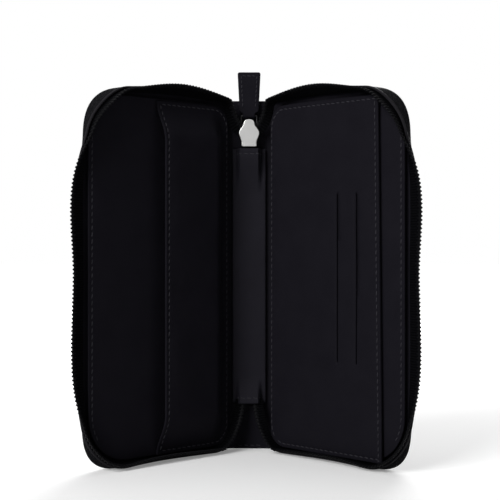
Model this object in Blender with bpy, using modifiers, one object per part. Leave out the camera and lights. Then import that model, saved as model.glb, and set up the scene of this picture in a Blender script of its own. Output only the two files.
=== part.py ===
"""Zip-around travel document organizer, standing on its lower edge and open like a book.

+X is to the right, +Y away from the viewer and +Z up, in metres. The origin is the middle of the
spine leather's lower edge. Depths are given from the spine leather's inner face, which the root empty
puts in its place. Each cover is described in its own directions: u runs from the fold line to the
outer edge, w from the outer leather into the case, z up.
"""

import math
from collections import namedtuple

import bmesh
import bpy
import numpy as np

# Covers
COVER_HEIGHT = 0.193
COVER_LENGTH = 0.0965
CORNER_RADIUS = 0.024
FOLD_HALF_SPACING = 0.0124
LEFT_OPENING = math.radians(43.3)
RIGHT_OPENING = math.radians(45.6)
GAP = 0.0003

# Thicknesses of the layers
LEATHER = 0.0013
BOARD = 0.0010
LINING = 0.0008
SLIP_PANEL = 0.0008
CARD_LINER = 0.0003
POCKET_PANEL = 0.0010
TAPE = 0.0007

# Zip chain, and the soft wall that carries it
TOOTH_PITCH = 0.0020
TOOTH_HALF_WIDTH = 0.0016
TOOTH_HALF_THICKNESS = 0.0009
GROOVE_DEPTH = 0.0005
MEETING_GAP = 0.0003
WALL_GAP = 0.0004
WALL_START = 0.0030
CHAIN_START = 0.0090
LEATHER_WALL = 0.0072
LEATHER_LIP = 0.0030
LIP_RISE = 0.0120
BEND = 0.0022

# Lean of the wall from square, in degrees: over the top, round the outer corners, down the side
LEAN_AT_START = 0.0
LEAN_OVER_TOP = 30.0
LEAN_BEFORE_CORNER = 5.0
LEAN_IN_TOP_CORNER = -9.0
LEAN_AFTER_CORNER = 17.0
LEAN_AT_SHOULDER = 51.0
LEAN_AT_SIDE = 65.0
LEAN_ABOVE_BOTTOM = 60.0
LEAN_IN_BOTTOM_CORNER = 14.0
LEAN_ALONG_BOTTOM = -2.0
SHOULDER_DROP = 0.014

# Flat layers inside the covers
LAYER_START = 0.0032
BOARD_MARGIN = 0.0042
LINING_MARGIN = 0.0034
SLIP_MARGIN = 0.0036
SLIP_OUTER_INSET = 0.0007
SLIP_EDGE = COVER_LENGTH - SLIP_OUTER_INSET
SLIP_CORNER = 0.034
SPINE_CORNER = 0.012

# Phone pocket, left
PHONE_POCKET_EDGE = 0.0530
PHONE_POCKET_MARGIN = 0.0055
PHONE_POCKET_DEPTH = 0.0078
BULGE_START = 0.0060
BULGE_RUN = 0.0120
BULGE_END_RUN = 0.021

# Card pocket, right
CARD_PANEL_START = 0.0060
CARD_PANEL_EDGE_TOP = 0.0803
CARD_PANEL_EDGE_BOTTOM = 0.0828
CARD_PANEL_MARGIN = 0.0052
CARD_HEIGHT = 0.0856
CARD_WIDTH = 0.0540
CARD_SHOWS = 0.0103
CARD_BOTTOM = 0.0530
SLIT_PLACES = (0.0541, 0.0670)
SLIT_WIDTH = 0.0009
SLIT_END_ROOM = 0.0008
CARD_ROOM = 0.0025

# Spine
SPINE_HALF_WIDTH = 0.0090
STRIP_HALF_WIDTH = 0.00915
STRIP_BOTTOM = 0.026
STRIP_TOP = 0.166
STRIP_THICKNESS = 0.0009
STRIP_CROWN_HALF_WIDTH = 0.0073
STRIP_CROWN_SIDE = 0.0024
STRIP_TOP_RUN = 0.034
STRIP_BOTTOM_RUN = 0.024
STIFFENER_INSET = 0.0010

# Zip ends on the spine
TAIL_LENGTH = 0.015
CLOSED_CHAIN_HALF_WIDTH = 0.0026
TAIL_TAPE_HALF_WIDTH = 0.0040
END_TAPE = 0.00045
LOWER_CHAIN_PLACE = 0.0028
LOWER_CHAIN_DEPTH = 0.0046
HIDDEN_CHAIN = 0.008
TOP_RUN_TAPE = 0.0040
BOTTOM_RUN_TAPE = 0.0028
BOTTOM_TAPE_SHARE = 0.66

# Slider, measured from its lower edge, which stands just over the strip
SLIDER_OVER_STRIP = 0.0010
SLIDER_BOTTOM = STRIP_TOP + SLIDER_OVER_STRIP
SLIDER_PLATE = 0.0008
SLIDER_BACK = 0.0036
SLIDER_SLOT = 0.0008
SLIDER_SHOULDER = 0.0058
SLIDER_MOUTH_HALF_WIDTH = 0.0043
SLIDER_SHOULDER_HEIGHT = 0.0067
SLIDER_NOSE_HEIGHT = 0.0140
SLIDER_BACK_NOSE = 0.0010
SLIDER_FLANGE = 0.0008
WEDGE_BOTTOM = 0.0092
WEDGE_HALF_WIDTH = 0.0019
CHAIN_JOIN = 0.0088

# Pull
BRIDGE_HALF_WIDTH = 0.0014
BRIDGE_THICKNESS = 0.0008
BRIDGE_BOTTOM = 0.0030
BRIDGE_TOP = 0.0100
WIRE_RADIUS = 0.0005
RING_CLEARANCE = 0.00025
RING_HALF_WIDTH = 0.0048
RING_CORNER = 0.0008
RING_LENGTH = 0.0090
PULL_LEATHER = 0.0010
PULL_LENGTH = 0.0246
PULL_HALF_WIDTH = 0.0054
PULL_END_HALF_WIDTH = 0.0059
PULL_NECK_HALF_WIDTH = 0.0033
PULL_THICKNESS = 0.0022
PULL_BEND_RUN = 0.0045
PULL_LEAN = math.radians(8.5)

Side = namedtuple("Side", "name sign opening")
LEFT = Side("left", -1, LEFT_OPENING)
RIGHT = Side("right", 1, RIGHT_OPENING)

WALL_HEIGHT = FOLD_HALF_SPACING - MEETING_GAP / 2 - TOOTH_HALF_WIDTH
ZIP_INSET = LEATHER + WALL_GAP + TAPE / 2
CHANNEL = 2 * TOOTH_HALF_THICKNESS + GAP
CHAIN_DEPTH = SLIDER_BACK + SLIDER_PLATE + SLIDER_SLOT + CHANNEL / 2
INTO_CASE = np.array([0.0, 1.0, 0.0])


# ---------------------------------------------------------------- scene and materials


def clear_scene():
    for obj in list(bpy.data.objects):
        bpy.data.objects.remove(obj, do_unlink=True)


def new_collection(name):
    collection = bpy.data.collections.new(name)
    bpy.context.scene.collection.children.link(collection)
    return collection


def new_material(name, colour, roughness, metallic=0.0):
    material = bpy.data.materials.new(name)
    material.use_nodes = True
    shader = material.node_tree.nodes["Principled BSDF"]
    shader.inputs["Base Color"].default_value = (*colour, 1.0)
    shader.inputs["Roughness"].default_value = roughness
    shader.inputs["Metallic"].default_value = metallic
    return material


clear_scene()
PARTS = new_collection("travel_document_organizer")
HELPERS = new_collection("cutters_and_joined_shapes")
ROOT = bpy.data.objects.new("spine_inner_face", None)
ROOT.location = (0.0, -LEATHER / 2, 0.0)
PARTS.objects.link(ROOT)
GRAINED_LEATHER = new_material("grained leather", (0.012, 0.012, 0.014), 0.55)
SMOOTH_LEATHER = new_material("smooth leather", (0.016, 0.015, 0.020), 0.42)
POCKET_FABRIC = new_material("pocket fabric", (0.010, 0.010, 0.012), 0.8)
FIBRE_BOARD = new_material("fibre board", (0.10, 0.085, 0.07), 0.9)
ZIP_TAPE = new_material("zip tape", (0.012, 0.012, 0.013), 0.85)
ZIP_TEETH = new_material("zip teeth", (0.020, 0.020, 0.021), 0.45)
SATIN_NICKEL = new_material("satin nickel", (0.72, 0.72, 0.72), 0.3, 1.0)


# ---------------------------------------------------------------- building helpers


def add_object(name, data, material, parent=None, collection=PARTS):
    obj = bpy.data.objects.new(name, data)
    obj.data.materials.append(material)
    obj.parent = parent or ROOT
    collection.objects.link(obj)
    return obj


def add_empty(name, location=(0.0, 0.0, 0.0), rotation=(0.0, 0.0, 0.0), parent=None):
    empty = bpy.data.objects.new(name, None)
    empty.location = location
    empty.rotation_euler = rotation
    empty.parent = parent or ROOT
    PARTS.objects.link(empty)
    return empty


def mesh_from(name, points, faces):
    """A mesh whose faces all wind the same way, and outwards where it is closed."""
    mesh = bpy.data.meshes.new(name)
    mesh.from_pydata(points.reshape(-1, 3).tolist(), [], faces)
    shape = bmesh.new()
    shape.from_mesh(mesh)
    bmesh.ops.recalc_face_normals(shape, faces=shape.faces)
    shape.to_mesh(mesh)
    shape.free()
    mesh.set_sharp_from_angle(angle=math.radians(35))
    return mesh


def grid_faces(rows, columns, closed=False):
    """Quads of a grid of points, row by row. A closed grid joins its last column to its first."""
    index = np.arange(rows * columns).reshape(rows, columns)
    beside = np.roll(index, -1, axis=1)
    quads = np.stack([index[:-1], beside[:-1], beside[1:], index[1:]], axis=-1)
    if not closed:
        quads = quads[:, :-1]
    return quads.reshape(-1, 4).tolist()


def loft(name, rings, material, parent=None, collection=PARTS):
    """A closed solid through rings of as many points each, with both ends filled."""
    rings = np.asarray(rings)
    count, corners = rings.shape[:2]
    faces = grid_faces(count, corners, closed=True)
    faces.append(list(range(corners)))
    faces.append(list(range((count - 1) * corners, count * corners)))
    return add_object(name, mesh_from(name, rings, faces), material, parent, collection)


def thicken(obj, thickness):
    """Gives an open surface its thickness, half to each side."""
    solidify = obj.modifiers.new("thickness", "SOLIDIFY")
    solidify.thickness = thickness
    solidify.offset = 0.0
    solidify.use_even_offset = True
    return obj


def cut_or_join(obj, other, operation):
    other.hide_render = True
    other.display_type = "WIRE"
    boolean = obj.modifiers.new(other.name, "BOOLEAN")
    boolean.operation = operation
    boolean.object = other


def box(name, low, high, material, parent=None, collection=PARTS, rounding=0.0):
    """A box between two corners, its edges rounded by the rounding given."""
    shape = bmesh.new()
    bmesh.ops.create_cube(shape, size=1.0)
    size = np.subtract(high, low)
    middle = np.add(high, low) / 2
    bmesh.ops.scale(shape, vec=size, verts=shape.verts)
    bmesh.ops.translate(shape, vec=middle, verts=shape.verts)
    mesh = bpy.data.meshes.new(name)
    shape.to_mesh(mesh)
    shape.free()
    obj = add_object(name, mesh, material, parent, collection)
    if rounding:
        bevel = obj.modifiers.new("rounding", "BEVEL")
        bevel.width = rounding
        bevel.segments = 2
    return obj


def upright_sheet(name, outline, front, back, material, parent=None):
    """A flat piece standing in the XZ plane, between two depths in front of its parent's plane."""
    curve = bpy.data.curves.new(name, "CURVE")
    curve.dimensions = "2D"
    curve.fill_mode = "BOTH"
    curve.extrude = (front - back) / 2
    spline = curve.splines.new("POLY")
    spline.points.add(len(outline) - 1)
    for point, (x, z) in zip(spline.points, outline):
        point.co = (x, z, 0.0, 1.0)
    spline.use_cyclic_u = True
    obj = add_object(name, curve, material, parent)
    obj.rotation_euler = (math.pi / 2, 0.0, 0.0)
    obj.location = (0.0, -(front + back) / 2, 0.0)
    return obj


def as_mesh(obj, collection=PARTS):
    """Turns a curve object into a mesh object with welded caps, in the same place."""
    bpy.context.view_layer.update()
    evaluated = obj.evaluated_get(bpy.context.evaluated_depsgraph_get())
    mesh = bpy.data.meshes.new_from_object(evaluated)
    shape = bmesh.new()
    shape.from_mesh(mesh)
    bmesh.ops.remove_doubles(shape, verts=shape.verts, dist=1e-6)
    bmesh.ops.recalc_face_normals(shape, faces=shape.faces)
    shape.to_mesh(mesh)
    shape.free()
    solid = bpy.data.objects.new("mesh", mesh)
    solid.parent = obj.parent
    solid.location = obj.location
    solid.rotation_euler = obj.rotation_euler
    collection.objects.link(solid)
    name = obj.name
    bpy.data.objects.remove(obj, do_unlink=True)
    solid.name = name
    return solid


def smooth_step(value):
    value = np.clip(value, 0.0, 1.0)
    return value * value * (3.0 - 2.0 * value)


def smooth_through(places, values, at):
    """A smooth curve through values at rising places, read at other places."""
    places = np.asarray(places)
    values = np.asarray(values)
    slopes = np.gradient(values, places)
    i = np.clip(np.searchsorted(places, at) - 1, 0, len(places) - 2)
    span = places[i + 1] - places[i]
    t = (at - places[i]) / span
    start = values[i] * (1 + 2 * t) * (1 - t) ** 2 + slopes[i] * span * t * (1 - t) ** 2
    end = values[i + 1] * t**2 * (3 - 2 * t) + slopes[i + 1] * span * t**2 * (t - 1)
    return start + end


def rounded_outline(corners, radii, steps=6):
    """Points round a convex polygon, counter-clockwise, each corner rounded by its own radius."""
    points = []
    count = len(corners)
    for i, radius in enumerate(radii):
        corner = np.array(corners[i])
        before = np.array(corners[i - 1]) - corner
        after = np.array(corners[(i + 1) % count]) - corner
        before /= np.linalg.norm(before)
        after /= np.linalg.norm(after)
        half = math.acos(np.clip(before @ after, -1.0, 1.0)) / 2
        middle = before + after
        centre = corner + middle / np.linalg.norm(middle) * radius / math.sin(half)
        start = corner + before * radius / math.tan(half) - centre
        turn = math.pi - 2 * half
        for k in range(steps + 1):
            a = turn * k / steps
            points.append(
                (
                    centre[0] + start[0] * math.cos(a) - start[1] * math.sin(a),
                    centre[1] + start[0] * math.sin(a) + start[1] * math.cos(a),
                )
            )
    return points


# ---------------------------------------------------------------- cover directions


def cover_empty(side):
    """The pivot of a cover on its fold line, turned to the opening in which it stands."""
    return add_empty(
        f"{side.name}_fold_axis",
        location=(side.sign * FOLD_HALF_SPACING, 0.0, 0.0),
        rotation=(0.0, 0.0, -side.sign * side.opening),
    )


def to_cover(side, points):
    """Points given as (u, w, z) in the space of the cover's pivot."""
    points = np.asarray(points)
    return points * np.array([side.sign, -1.0, 1.0])


def to_row(side, points):
    """Points given as (u, w, z) in the row frame, at rest."""
    local = to_cover(side, points)
    angle = -side.sign * side.opening
    turn = np.array(
        [
            [math.cos(angle), math.sin(angle), 0.0],
            [-math.sin(angle), math.cos(angle), 0.0],
            [0.0, 0.0, 1.0],
        ]
    )
    return local @ turn


def cover_point_in_row(side, points):
    return to_row(side, points) + np.array([side.sign * FOLD_HALF_SPACING, 0.0, 0.0])


# ---------------------------------------------------------------- the zip's soft wall


TOP_RUN = COVER_LENGTH - CORNER_RADIUS - WALL_START
CORNER_RUN = (CORNER_RADIUS - ZIP_INSET) * math.pi / 2
SIDE_RUN = COVER_HEIGHT - 2 * CORNER_RADIUS
FOOT_LENGTH = 2 * (TOP_RUN + CORNER_RUN) + SIDE_RUN


def foot_line(distance):
    """The wall's foot, from the fold along the top, down the outer side and back along the bottom.

    Gives each point and the direction out of the cover there.
    """
    radius = CORNER_RADIUS - ZIP_INSET
    nearer = np.minimum(distance, FOOT_LENGTH - distance)
    lower = distance > FOOT_LENGTH / 2
    angle = np.clip((nearer - TOP_RUN) / radius, 0.0, math.pi / 2)
    u = WALL_START + np.minimum(nearer, TOP_RUN) + radius * np.sin(angle)
    drop = ZIP_INSET + radius * (1 - np.cos(angle))
    drop = drop + np.maximum(nearer - TOP_RUN - CORNER_RUN, 0.0)
    z = np.where(lower, drop, COVER_HEIGHT - drop)
    out_z = np.where(lower, -np.cos(angle), np.cos(angle))
    nothing = np.zeros_like(u)
    point = np.stack([u, nothing, z], axis=-1)
    outwards = np.stack([np.sin(angle), nothing, out_z], axis=-1)
    return point, outwards


def wall_lean(distance):
    corner_end = TOP_RUN + CORNER_RUN
    side_end = corner_end + SIDE_RUN
    places_and_leans = (
        (0.0, LEAN_AT_START),
        (0.5 * TOP_RUN, LEAN_OVER_TOP),
        (TOP_RUN, LEAN_BEFORE_CORNER),
        (TOP_RUN + 0.5 * CORNER_RUN, LEAN_IN_TOP_CORNER),
        (corner_end, LEAN_AFTER_CORNER),
        (corner_end + SHOULDER_DROP, LEAN_AT_SHOULDER),
        (corner_end + 0.5 * SIDE_RUN, LEAN_AT_SIDE),
        (side_end - SHOULDER_DROP, LEAN_ABOVE_BOTTOM),
        (side_end + 0.5 * CORNER_RUN, LEAN_IN_BOTTOM_CORNER),
        (side_end + CORNER_RUN, LEAN_ALONG_BOTTOM),
        (FOOT_LENGTH, LEAN_ALONG_BOTTOM),
    )
    places, leans = zip(*places_and_leans)
    return np.radians(smooth_through(places, leans, distance))


def wall_frame(distance):
    """Foot point, direction up the wall and direction out of the wall's face, in (u, w, z)."""
    foot, outwards = foot_line(distance)
    lean = wall_lean(distance)[..., None]
    up = np.sin(lean) * outwards + np.cos(lean) * INTO_CASE
    out = np.cos(lean) * outwards - np.sin(lean) * INTO_CASE
    return foot, up, out


def wall_stations(start, end):
    """Distances along the foot line, closer together where the wall turns or leans over."""
    corner_end = TOP_RUN + CORNER_RUN
    side_end = corner_end + SIDE_RUN
    twist = 1.5 * SHOULDER_DROP
    stretches = (
        (TOP_RUN, 8),
        (corner_end, 8),
        (corner_end + twist, 7),
        (side_end - twist, 7),
        (side_end, 7),
        (side_end + CORNER_RUN, 8),
    )
    stations = []
    for stop, steps in stretches:
        stations.extend(np.linspace(start, stop, steps, endpoint=False))
        start = stop
    stations.extend(np.linspace(start, end, 9))
    return np.array(stations)


def ribbon_rings(middle, across, through, half_width, half_thickness):
    """Rectangular rings along a path; the widths may change from ring to ring."""
    half_width = np.broadcast_to(half_width, middle.shape[:1])[:, None]
    half_thickness = np.broadcast_to(half_thickness, middle.shape[:1])[:, None]
    corners = [(-1, -1), (1, -1), (1, 1), (-1, 1)]
    return np.stack(
        [middle + a * half_width * across + b * half_thickness * through for a, b in corners],
        axis=1,
    )


def chain_rings(middle, across, through, half_width=TOOTH_HALF_WIDTH):
    """A bead with a tooth at every other ring and a groove between two teeth."""
    groove = (np.arange(len(middle)) % 2) * GROOVE_DEPTH
    return ribbon_rings(
        middle, across, through, half_width - groove, TOOTH_HALF_THICKNESS - groove
    )


def tooth_places(length):
    """Evenly spaced distances with a tooth at both ends."""
    count = 2 * max(int(round(length / TOOTH_PITCH)), 1) + 1
    return np.linspace(0.0, length, count)


CHAIN_FROM = CHAIN_START - WALL_START
CHAIN_TO = FOOT_LENGTH - CHAIN_FROM
TAPE_TOP = WALL_HEIGHT - TOOTH_HALF_WIDTH - GAP
TAPE_FOOT = 0.0026


def cover_leather(side, parent):
    """The outer leather: a flat back turned up into a wall on three sides, open at the fold."""
    distance = wall_stations(0.0, FOOT_LENGTH)
    foot, up, out = wall_frame(distance)
    _, outwards = foot_line(distance)
    offset = TAPE / 2 + WALL_GAP + LEATHER / 2
    back = -LEATHER / 2
    climb = ((back - offset * out[:, 1]) / up[:, 1])[:, None]
    corner = foot + offset * out + climb * up
    bend_start = corner - BEND * outwards
    bend_end = corner + BEND * up
    grid = [bend_start]
    for t in (0.25, 0.5, 0.75):
        grid.append((1 - t) ** 2 * bend_start + 2 * t * (1 - t) * corner + t**2 * bend_end)
    grid.append(bend_end)
    from_end = np.minimum(distance, FOOT_LENGTH - distance)
    rise = smooth_step(from_end / LIP_RISE)[:, None]
    rim = LEATHER_LIP + (LEATHER_WALL - LEATHER_LIP) * rise
    grid.append(foot + offset * out + rim * up)
    grid = np.stack(grid, axis=1)
    rows, columns = grid.shape[:2]
    faces = grid_faces(rows, columns)
    faces.append([row * columns for row in range(rows)])
    name = f"{side.name}_cover_leather"
    mesh = mesh_from(name, to_cover(side, grid), faces)
    return thicken(add_object(name, mesh, GRAINED_LEATHER, parent), LEATHER)


def wall_tape(side, parent):
    distance = wall_stations(CHAIN_FROM, CHAIN_TO)
    foot, up, out = wall_frame(distance)
    middle = foot + (TAPE_FOOT + TAPE_TOP) / 2 * up
    rings = ribbon_rings(middle, up, out, (TAPE_TOP - TAPE_FOOT) / 2, TAPE / 2)
    return loft(f"{side.name}_zip_tape", to_cover(side, rings), ZIP_TAPE, parent)


def wall_chain(side, parent):
    distance = CHAIN_FROM + tooth_places(CHAIN_TO - CHAIN_FROM)
    foot, up, out = wall_frame(distance)
    rings = chain_rings(foot + WALL_HEIGHT * up, up, out)
    return loft(f"{side.name}_zip_teeth", to_cover(side, rings), ZIP_TEETH, parent)


# ---------------------------------------------------------------- flat layers


def stack_layers(thicknesses):
    """(low, high) heights above the outer leather of layers laid on each other."""
    layers = []
    low = GAP
    for thickness in thicknesses:
        layers.append((low, low + thickness))
        low += thickness + GAP
    return layers


def cover_sheet(name, side, outline, layer, material, parent):
    """A flat layer of a cover, from its outline in (u, z)."""
    low, high = layer
    points = [(side.sign * u, z) for u, z in outline]
    return upright_sheet(name, points, high, low, material, parent)


def inset_outline(margin, outer_edge=None, outer_radius=None):
    """The cover's own outline drawn in by a margin, from the fold side to the outer edge."""
    edge = COVER_LENGTH - margin if outer_edge is None else outer_edge
    radius = CORNER_RADIUS - margin if outer_radius is None else outer_radius
    low, high = margin, COVER_HEIGHT - margin
    corners = [(LAYER_START, low), (edge, low), (edge, high), (LAYER_START, high)]
    return rounded_outline(corners, (SPINE_CORNER, radius, radius, SPINE_CORNER))


def cover_layers(side, parent, layers):
    """Board, lining and the slip pocket's panel, from the outer leather inwards."""
    board, lining, slip = layers[:3]
    name = side.name
    cover_sheet(
        f"{name}_cover_board",
        side,
        inset_outline(BOARD_MARGIN),
        board,
        FIBRE_BOARD,
        parent,
    )
    cover_sheet(
        f"{name}_cover_lining",
        side,
        inset_outline(LINING_MARGIN),
        lining,
        SMOOTH_LEATHER,
        parent,
    )
    cover_sheet(
        f"{name}_slip_pocket",
        side,
        inset_outline(SLIP_MARGIN, SLIP_EDGE, SLIP_CORNER),
        slip,
        SMOOTH_LEATHER,
        parent,
    )


def phone_pocket(parent, floor):
    """The left pocket's panel, sewn down at the fold side and both ends and bulged by a phone."""
    columns, rows = 12, 21
    low = PHONE_POCKET_MARGIN
    high = COVER_HEIGHT - PHONE_POCKET_MARGIN
    across = np.linspace(0.0, 1.0, columns)[None, :]
    ends = (1 - np.cos(np.linspace(0.0, math.pi, rows))) / 2
    z = (low + (high - low) * ends)[:, None]
    from_end = np.minimum(z - low, high - z)
    in_corner = np.clip(1 - from_end / SPINE_CORNER, 0.0, 1.0)
    seam = LAYER_START + SPINE_CORNER * (1 - np.sqrt(1 - in_corner**2))
    u = seam + (PHONE_POCKET_EDGE - seam) * across
    bulge = smooth_step((u - BULGE_START) / BULGE_RUN) * smooth_step(from_end / BULGE_END_RUN)
    sewn = floor + GAP + POCKET_PANEL / 2
    raised = floor + PHONE_POCKET_DEPTH + POCKET_PANEL / 2
    w = sewn + (raised - sewn) * bulge
    grid = np.stack([u, w, np.broadcast_to(z, u.shape)], axis=-1)
    mesh = mesh_from("phone_pocket", to_cover(LEFT, grid), grid_faces(rows, columns))
    return thicken(add_object("phone_pocket", mesh, SMOOTH_LEATHER, parent), POCKET_PANEL)


def card_panel(parent, layer):
    """The right pocket's panel, with an upright slit for each card."""
    low = CARD_PANEL_MARGIN
    high = COVER_HEIGHT - CARD_PANEL_MARGIN
    corners = [
        (CARD_PANEL_START, low),
        (CARD_PANEL_EDGE_BOTTOM, low),
        (CARD_PANEL_EDGE_TOP, high),
        (CARD_PANEL_START, high),
    ]
    radii = (SPINE_CORNER, POCKET_PANEL, POCKET_PANEL, SPINE_CORNER)
    outline = rounded_outline(corners, radii)
    panel = as_mesh(cover_sheet("card_panel", RIGHT, outline, layer, SMOOTH_LEATHER, parent))
    for number, place in enumerate(SLIT_PLACES, start=1):
        slit = box(
            f"slit_{number}",
            (place - SLIT_WIDTH, -layer[1] - GAP, CARD_BOTTOM - SLIT_END_ROOM),
            (place, -layer[0] + GAP, CARD_BOTTOM + CARD_HEIGHT + SLIT_END_ROOM),
            SMOOTH_LEATHER,
            parent,
            HELPERS,
        )
        cut_or_join(panel, slit, "DIFFERENCE")
    return panel


def card_liners(parent, layers):
    """A thin pocket back behind each slit, reaching as far in as a card does."""
    numbers = range(1, len(SLIT_PLACES) + 1)
    for number, place, layer in zip(numbers, SLIT_PLACES, reversed(layers)):
        end = place + CARD_SHOWS - CARD_WIDTH - CARD_ROOM
        low = CARD_BOTTOM - CARD_ROOM
        high = CARD_BOTTOM + CARD_HEIGHT + CARD_ROOM
        mouth = place + CARD_ROOM
        outline = rounded_outline(
            [(end, low), (mouth, low), (mouth, high), (end, high)], (CARD_ROOM,) * 4, steps=3
        )
        cover_sheet(f"card_pocket_{number}", RIGHT, outline, layer, POCKET_FABRIC, parent)


# ---------------------------------------------------------------- spine


def spine_leather():
    return box(
        "spine_leather",
        (-SPINE_HALF_WIDTH, 0.0, 0.0),
        (SPINE_HALF_WIDTH, LEATHER, COVER_HEIGHT),
        GRAINED_LEATHER,
    )


def fold_leather(side):
    """The bend of the outer leather between spine and cover, drawn in plan and raised to full height."""
    steps = 6
    start = np.array([side.sign * (SPINE_HALF_WIDTH + GAP), 0.0])
    fold = np.array([side.sign * FOLD_HALF_SPACING, 0.0])
    end = cover_point_in_row(side, (WALL_START - GAP, 0.0, 0.0))[:2]
    t = np.linspace(0.0, 1.0, steps)[:, None]
    inner = (1 - t) ** 2 * start + 2 * t * (1 - t) * fold + t**2 * end
    along = 2 * (1 - t) * (fold - start) + 2 * t * (end - fold)
    along /= np.linalg.norm(along, axis=1)[:, None]
    back = np.stack([-side.sign * along[:, 1], side.sign * along[:, 0]], axis=1)
    outer = inner + LEATHER * back
    plan = np.concatenate([inner, outer[::-1]])
    rings = [np.column_stack([plan, np.full(len(plan), z)]) for z in (GAP, COVER_HEIGHT - GAP)]
    return loft(f"{side.name}_fold_leather", rings, GRAINED_LEATHER)


def strip_depth(z):
    """Depth of the strip's underside in front of the spine, raised where it covers the zip's ends."""
    flat = GAP + BOARD + GAP
    top = CHAIN_DEPTH + TOOTH_HALF_THICKNESS + 2 * GAP
    bottom = LOWER_CHAIN_DEPTH + TOOTH_HALF_THICKNESS + 3 * GAP
    up = smooth_step((z - STRIP_TOP + STRIP_TOP_RUN) / STRIP_TOP_RUN)
    down = smooth_step((STRIP_BOTTOM + STRIP_BOTTOM_RUN - z) / STRIP_BOTTOM_RUN)
    return flat, (top - flat) * up + (bottom - flat) * down


def spine_strip():
    columns, rows = 15, 22
    x = np.linspace(-STRIP_HALF_WIDTH, STRIP_HALF_WIDTH, columns)[None, :]
    z = np.linspace(STRIP_BOTTOM, STRIP_TOP, rows)[:, None]
    flat, crown = strip_depth(z)
    across = smooth_step((STRIP_CROWN_HALF_WIDTH - np.abs(x)) / STRIP_CROWN_SIDE)
    depth = flat + STRIP_THICKNESS / 2 + crown * across
    grid = np.stack([x + 0 * z, -depth, z + 0 * x], axis=-1)
    mesh = mesh_from("spine_strip", grid, grid_faces(rows, columns))
    return thicken(add_object("spine_strip", mesh, SMOOTH_LEATHER), STRIP_THICKNESS)


def spine_stiffener():
    half = SPINE_HALF_WIDTH - STIFFENER_INSET
    return box(
        "spine_stiffener",
        (-half, -GAP - BOARD, STRIP_BOTTOM + STIFFENER_INSET),
        (half, -GAP, STRIP_TOP - STIFFENER_INSET),
        FIBRE_BOARD,
    )


def tail_depth(z):
    """Depth of the joined chain's middle: level inside the slider, then back to the stiffener."""
    flat = GAP + BOARD + GAP + END_TAPE + GAP + TOOTH_HALF_THICKNESS
    run = smooth_step((z - STRIP_TOP + TAIL_LENGTH) / TAIL_LENGTH)
    return flat + (CHAIN_DEPTH - flat) * run


def joined_chain():
    """The meshed end of the chain, from inside the slider to under the strip."""
    bottom = STRIP_TOP - TAIL_LENGTH
    top = SLIDER_BOTTOM + CHAIN_JOIN - TOOTH_HALF_WIDTH
    z = bottom + tooth_places(top - bottom)
    middle = np.stack([0 * z, -tail_depth(z), z], axis=1)
    rings = chain_rings(
        middle, np.array([1.0, 0.0, 0.0]), np.array([0.0, 1.0, 0.0]), CLOSED_CHAIN_HALF_WIDTH
    )
    return loft("joined_zip_teeth", rings, ZIP_TEETH)


def joined_tape():
    bottom = STRIP_TOP - TAIL_LENGTH
    z = np.linspace(bottom, SLIDER_BOTTOM + CHAIN_JOIN - TOOTH_HALF_WIDTH, 12)
    depth = tail_depth(z) - TOOTH_HALF_THICKNESS - GAP - END_TAPE / 2
    middle = np.stack([0 * z, -depth, z], axis=1)
    rings = ribbon_rings(
        middle,
        np.array([1.0, 0.0, 0.0]),
        np.array([0.0, 1.0, 0.0]),
        TAIL_TAPE_HALF_WIDTH,
        END_TAPE / 2,
    )
    return loft("joined_zip_tape", rings, ZIP_TAPE)


# ---------------------------------------------------------------- loose runs of the zip


def bezier(points, t):
    """Points and unit tangents of a cubic curve."""
    a, b, c, d = [np.asarray(p) for p in points]
    t = t[:, None]
    place = (1 - t) ** 3 * a + 3 * t * (1 - t) ** 2 * b + 3 * t**2 * (1 - t) * c + t**3 * d
    along = 3 * (1 - t) ** 2 * (b - a) + 6 * t * (1 - t) * (c - b) + 3 * t**2 * (d - c)
    return place, along / np.linalg.norm(along, axis=1)[:, None]


def evenly(points, spacing):
    """Parameters along a cubic curve that lie about a tooth or a groove apart."""
    fine = np.linspace(0.0, 1.0, 200)
    place, _ = bezier(points, fine)
    walked = np.concatenate([[0.0], np.cumsum(np.linalg.norm(np.diff(place, axis=0), axis=1))])
    count = 2 * max(int(round(walked[-1] / spacing)), 1) + 1
    return np.interp(np.linspace(0.0, walked[-1], count), walked, fine)


def loose_run(side, name, distance, spine_end, spine_reach, tray_reach, spine_tape, taped=1.0):
    """The chain that passes freely from a tray's corner to the spine, taped for a share of its way."""
    foot, up, _ = wall_frame(np.array([distance]))
    inwards = 1 if distance < FOOT_LENGTH / 2 else -1
    before, _, _ = wall_frame(np.array([distance + inwards * TOOTH_PITCH]))
    corner = cover_point_in_row(side, foot[0] + WALL_HEIGHT * up[0])
    heading = to_row(side, foot[0] - before[0])
    heading /= np.linalg.norm(heading)
    end = np.array(spine_end)
    points = (
        corner + GAP * heading,
        corner + tray_reach * heading,
        end + np.array(spine_reach),
        end,
    )
    t = evenly(points, TOOTH_PITCH)
    middle, along = bezier(points, t)
    share = smooth_step(t)[:, None]
    across = (1 - share) * to_row(side, up[0]) + share * np.array([-side.sign, 0.0, 0.0])
    across -= np.sum(across * along, axis=1)[:, None] * along
    across /= np.linalg.norm(across, axis=1)[:, None]
    through = np.cross(along, across)
    loft(f"{name}_zip_teeth", chain_rings(middle, across, through), ZIP_TEETH)
    every_tooth = np.flatnonzero(t <= taped)[::2]
    narrowed = smooth_step(2.5 * t)[:, None]
    width = (TAPE_TOP - TAPE_FOOT) * (1 - narrowed) + spine_tape * narrowed
    near = TOOTH_HALF_WIDTH + GAP
    centre = middle - (near + width / 2) * across
    rings = ribbon_rings(
        centre[every_tooth],
        across[every_tooth],
        through[every_tooth],
        width[every_tooth, 0] / 2,
        END_TAPE / 2,
    )
    loft(f"{name}_zip_tape", rings, ZIP_TAPE)


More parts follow.
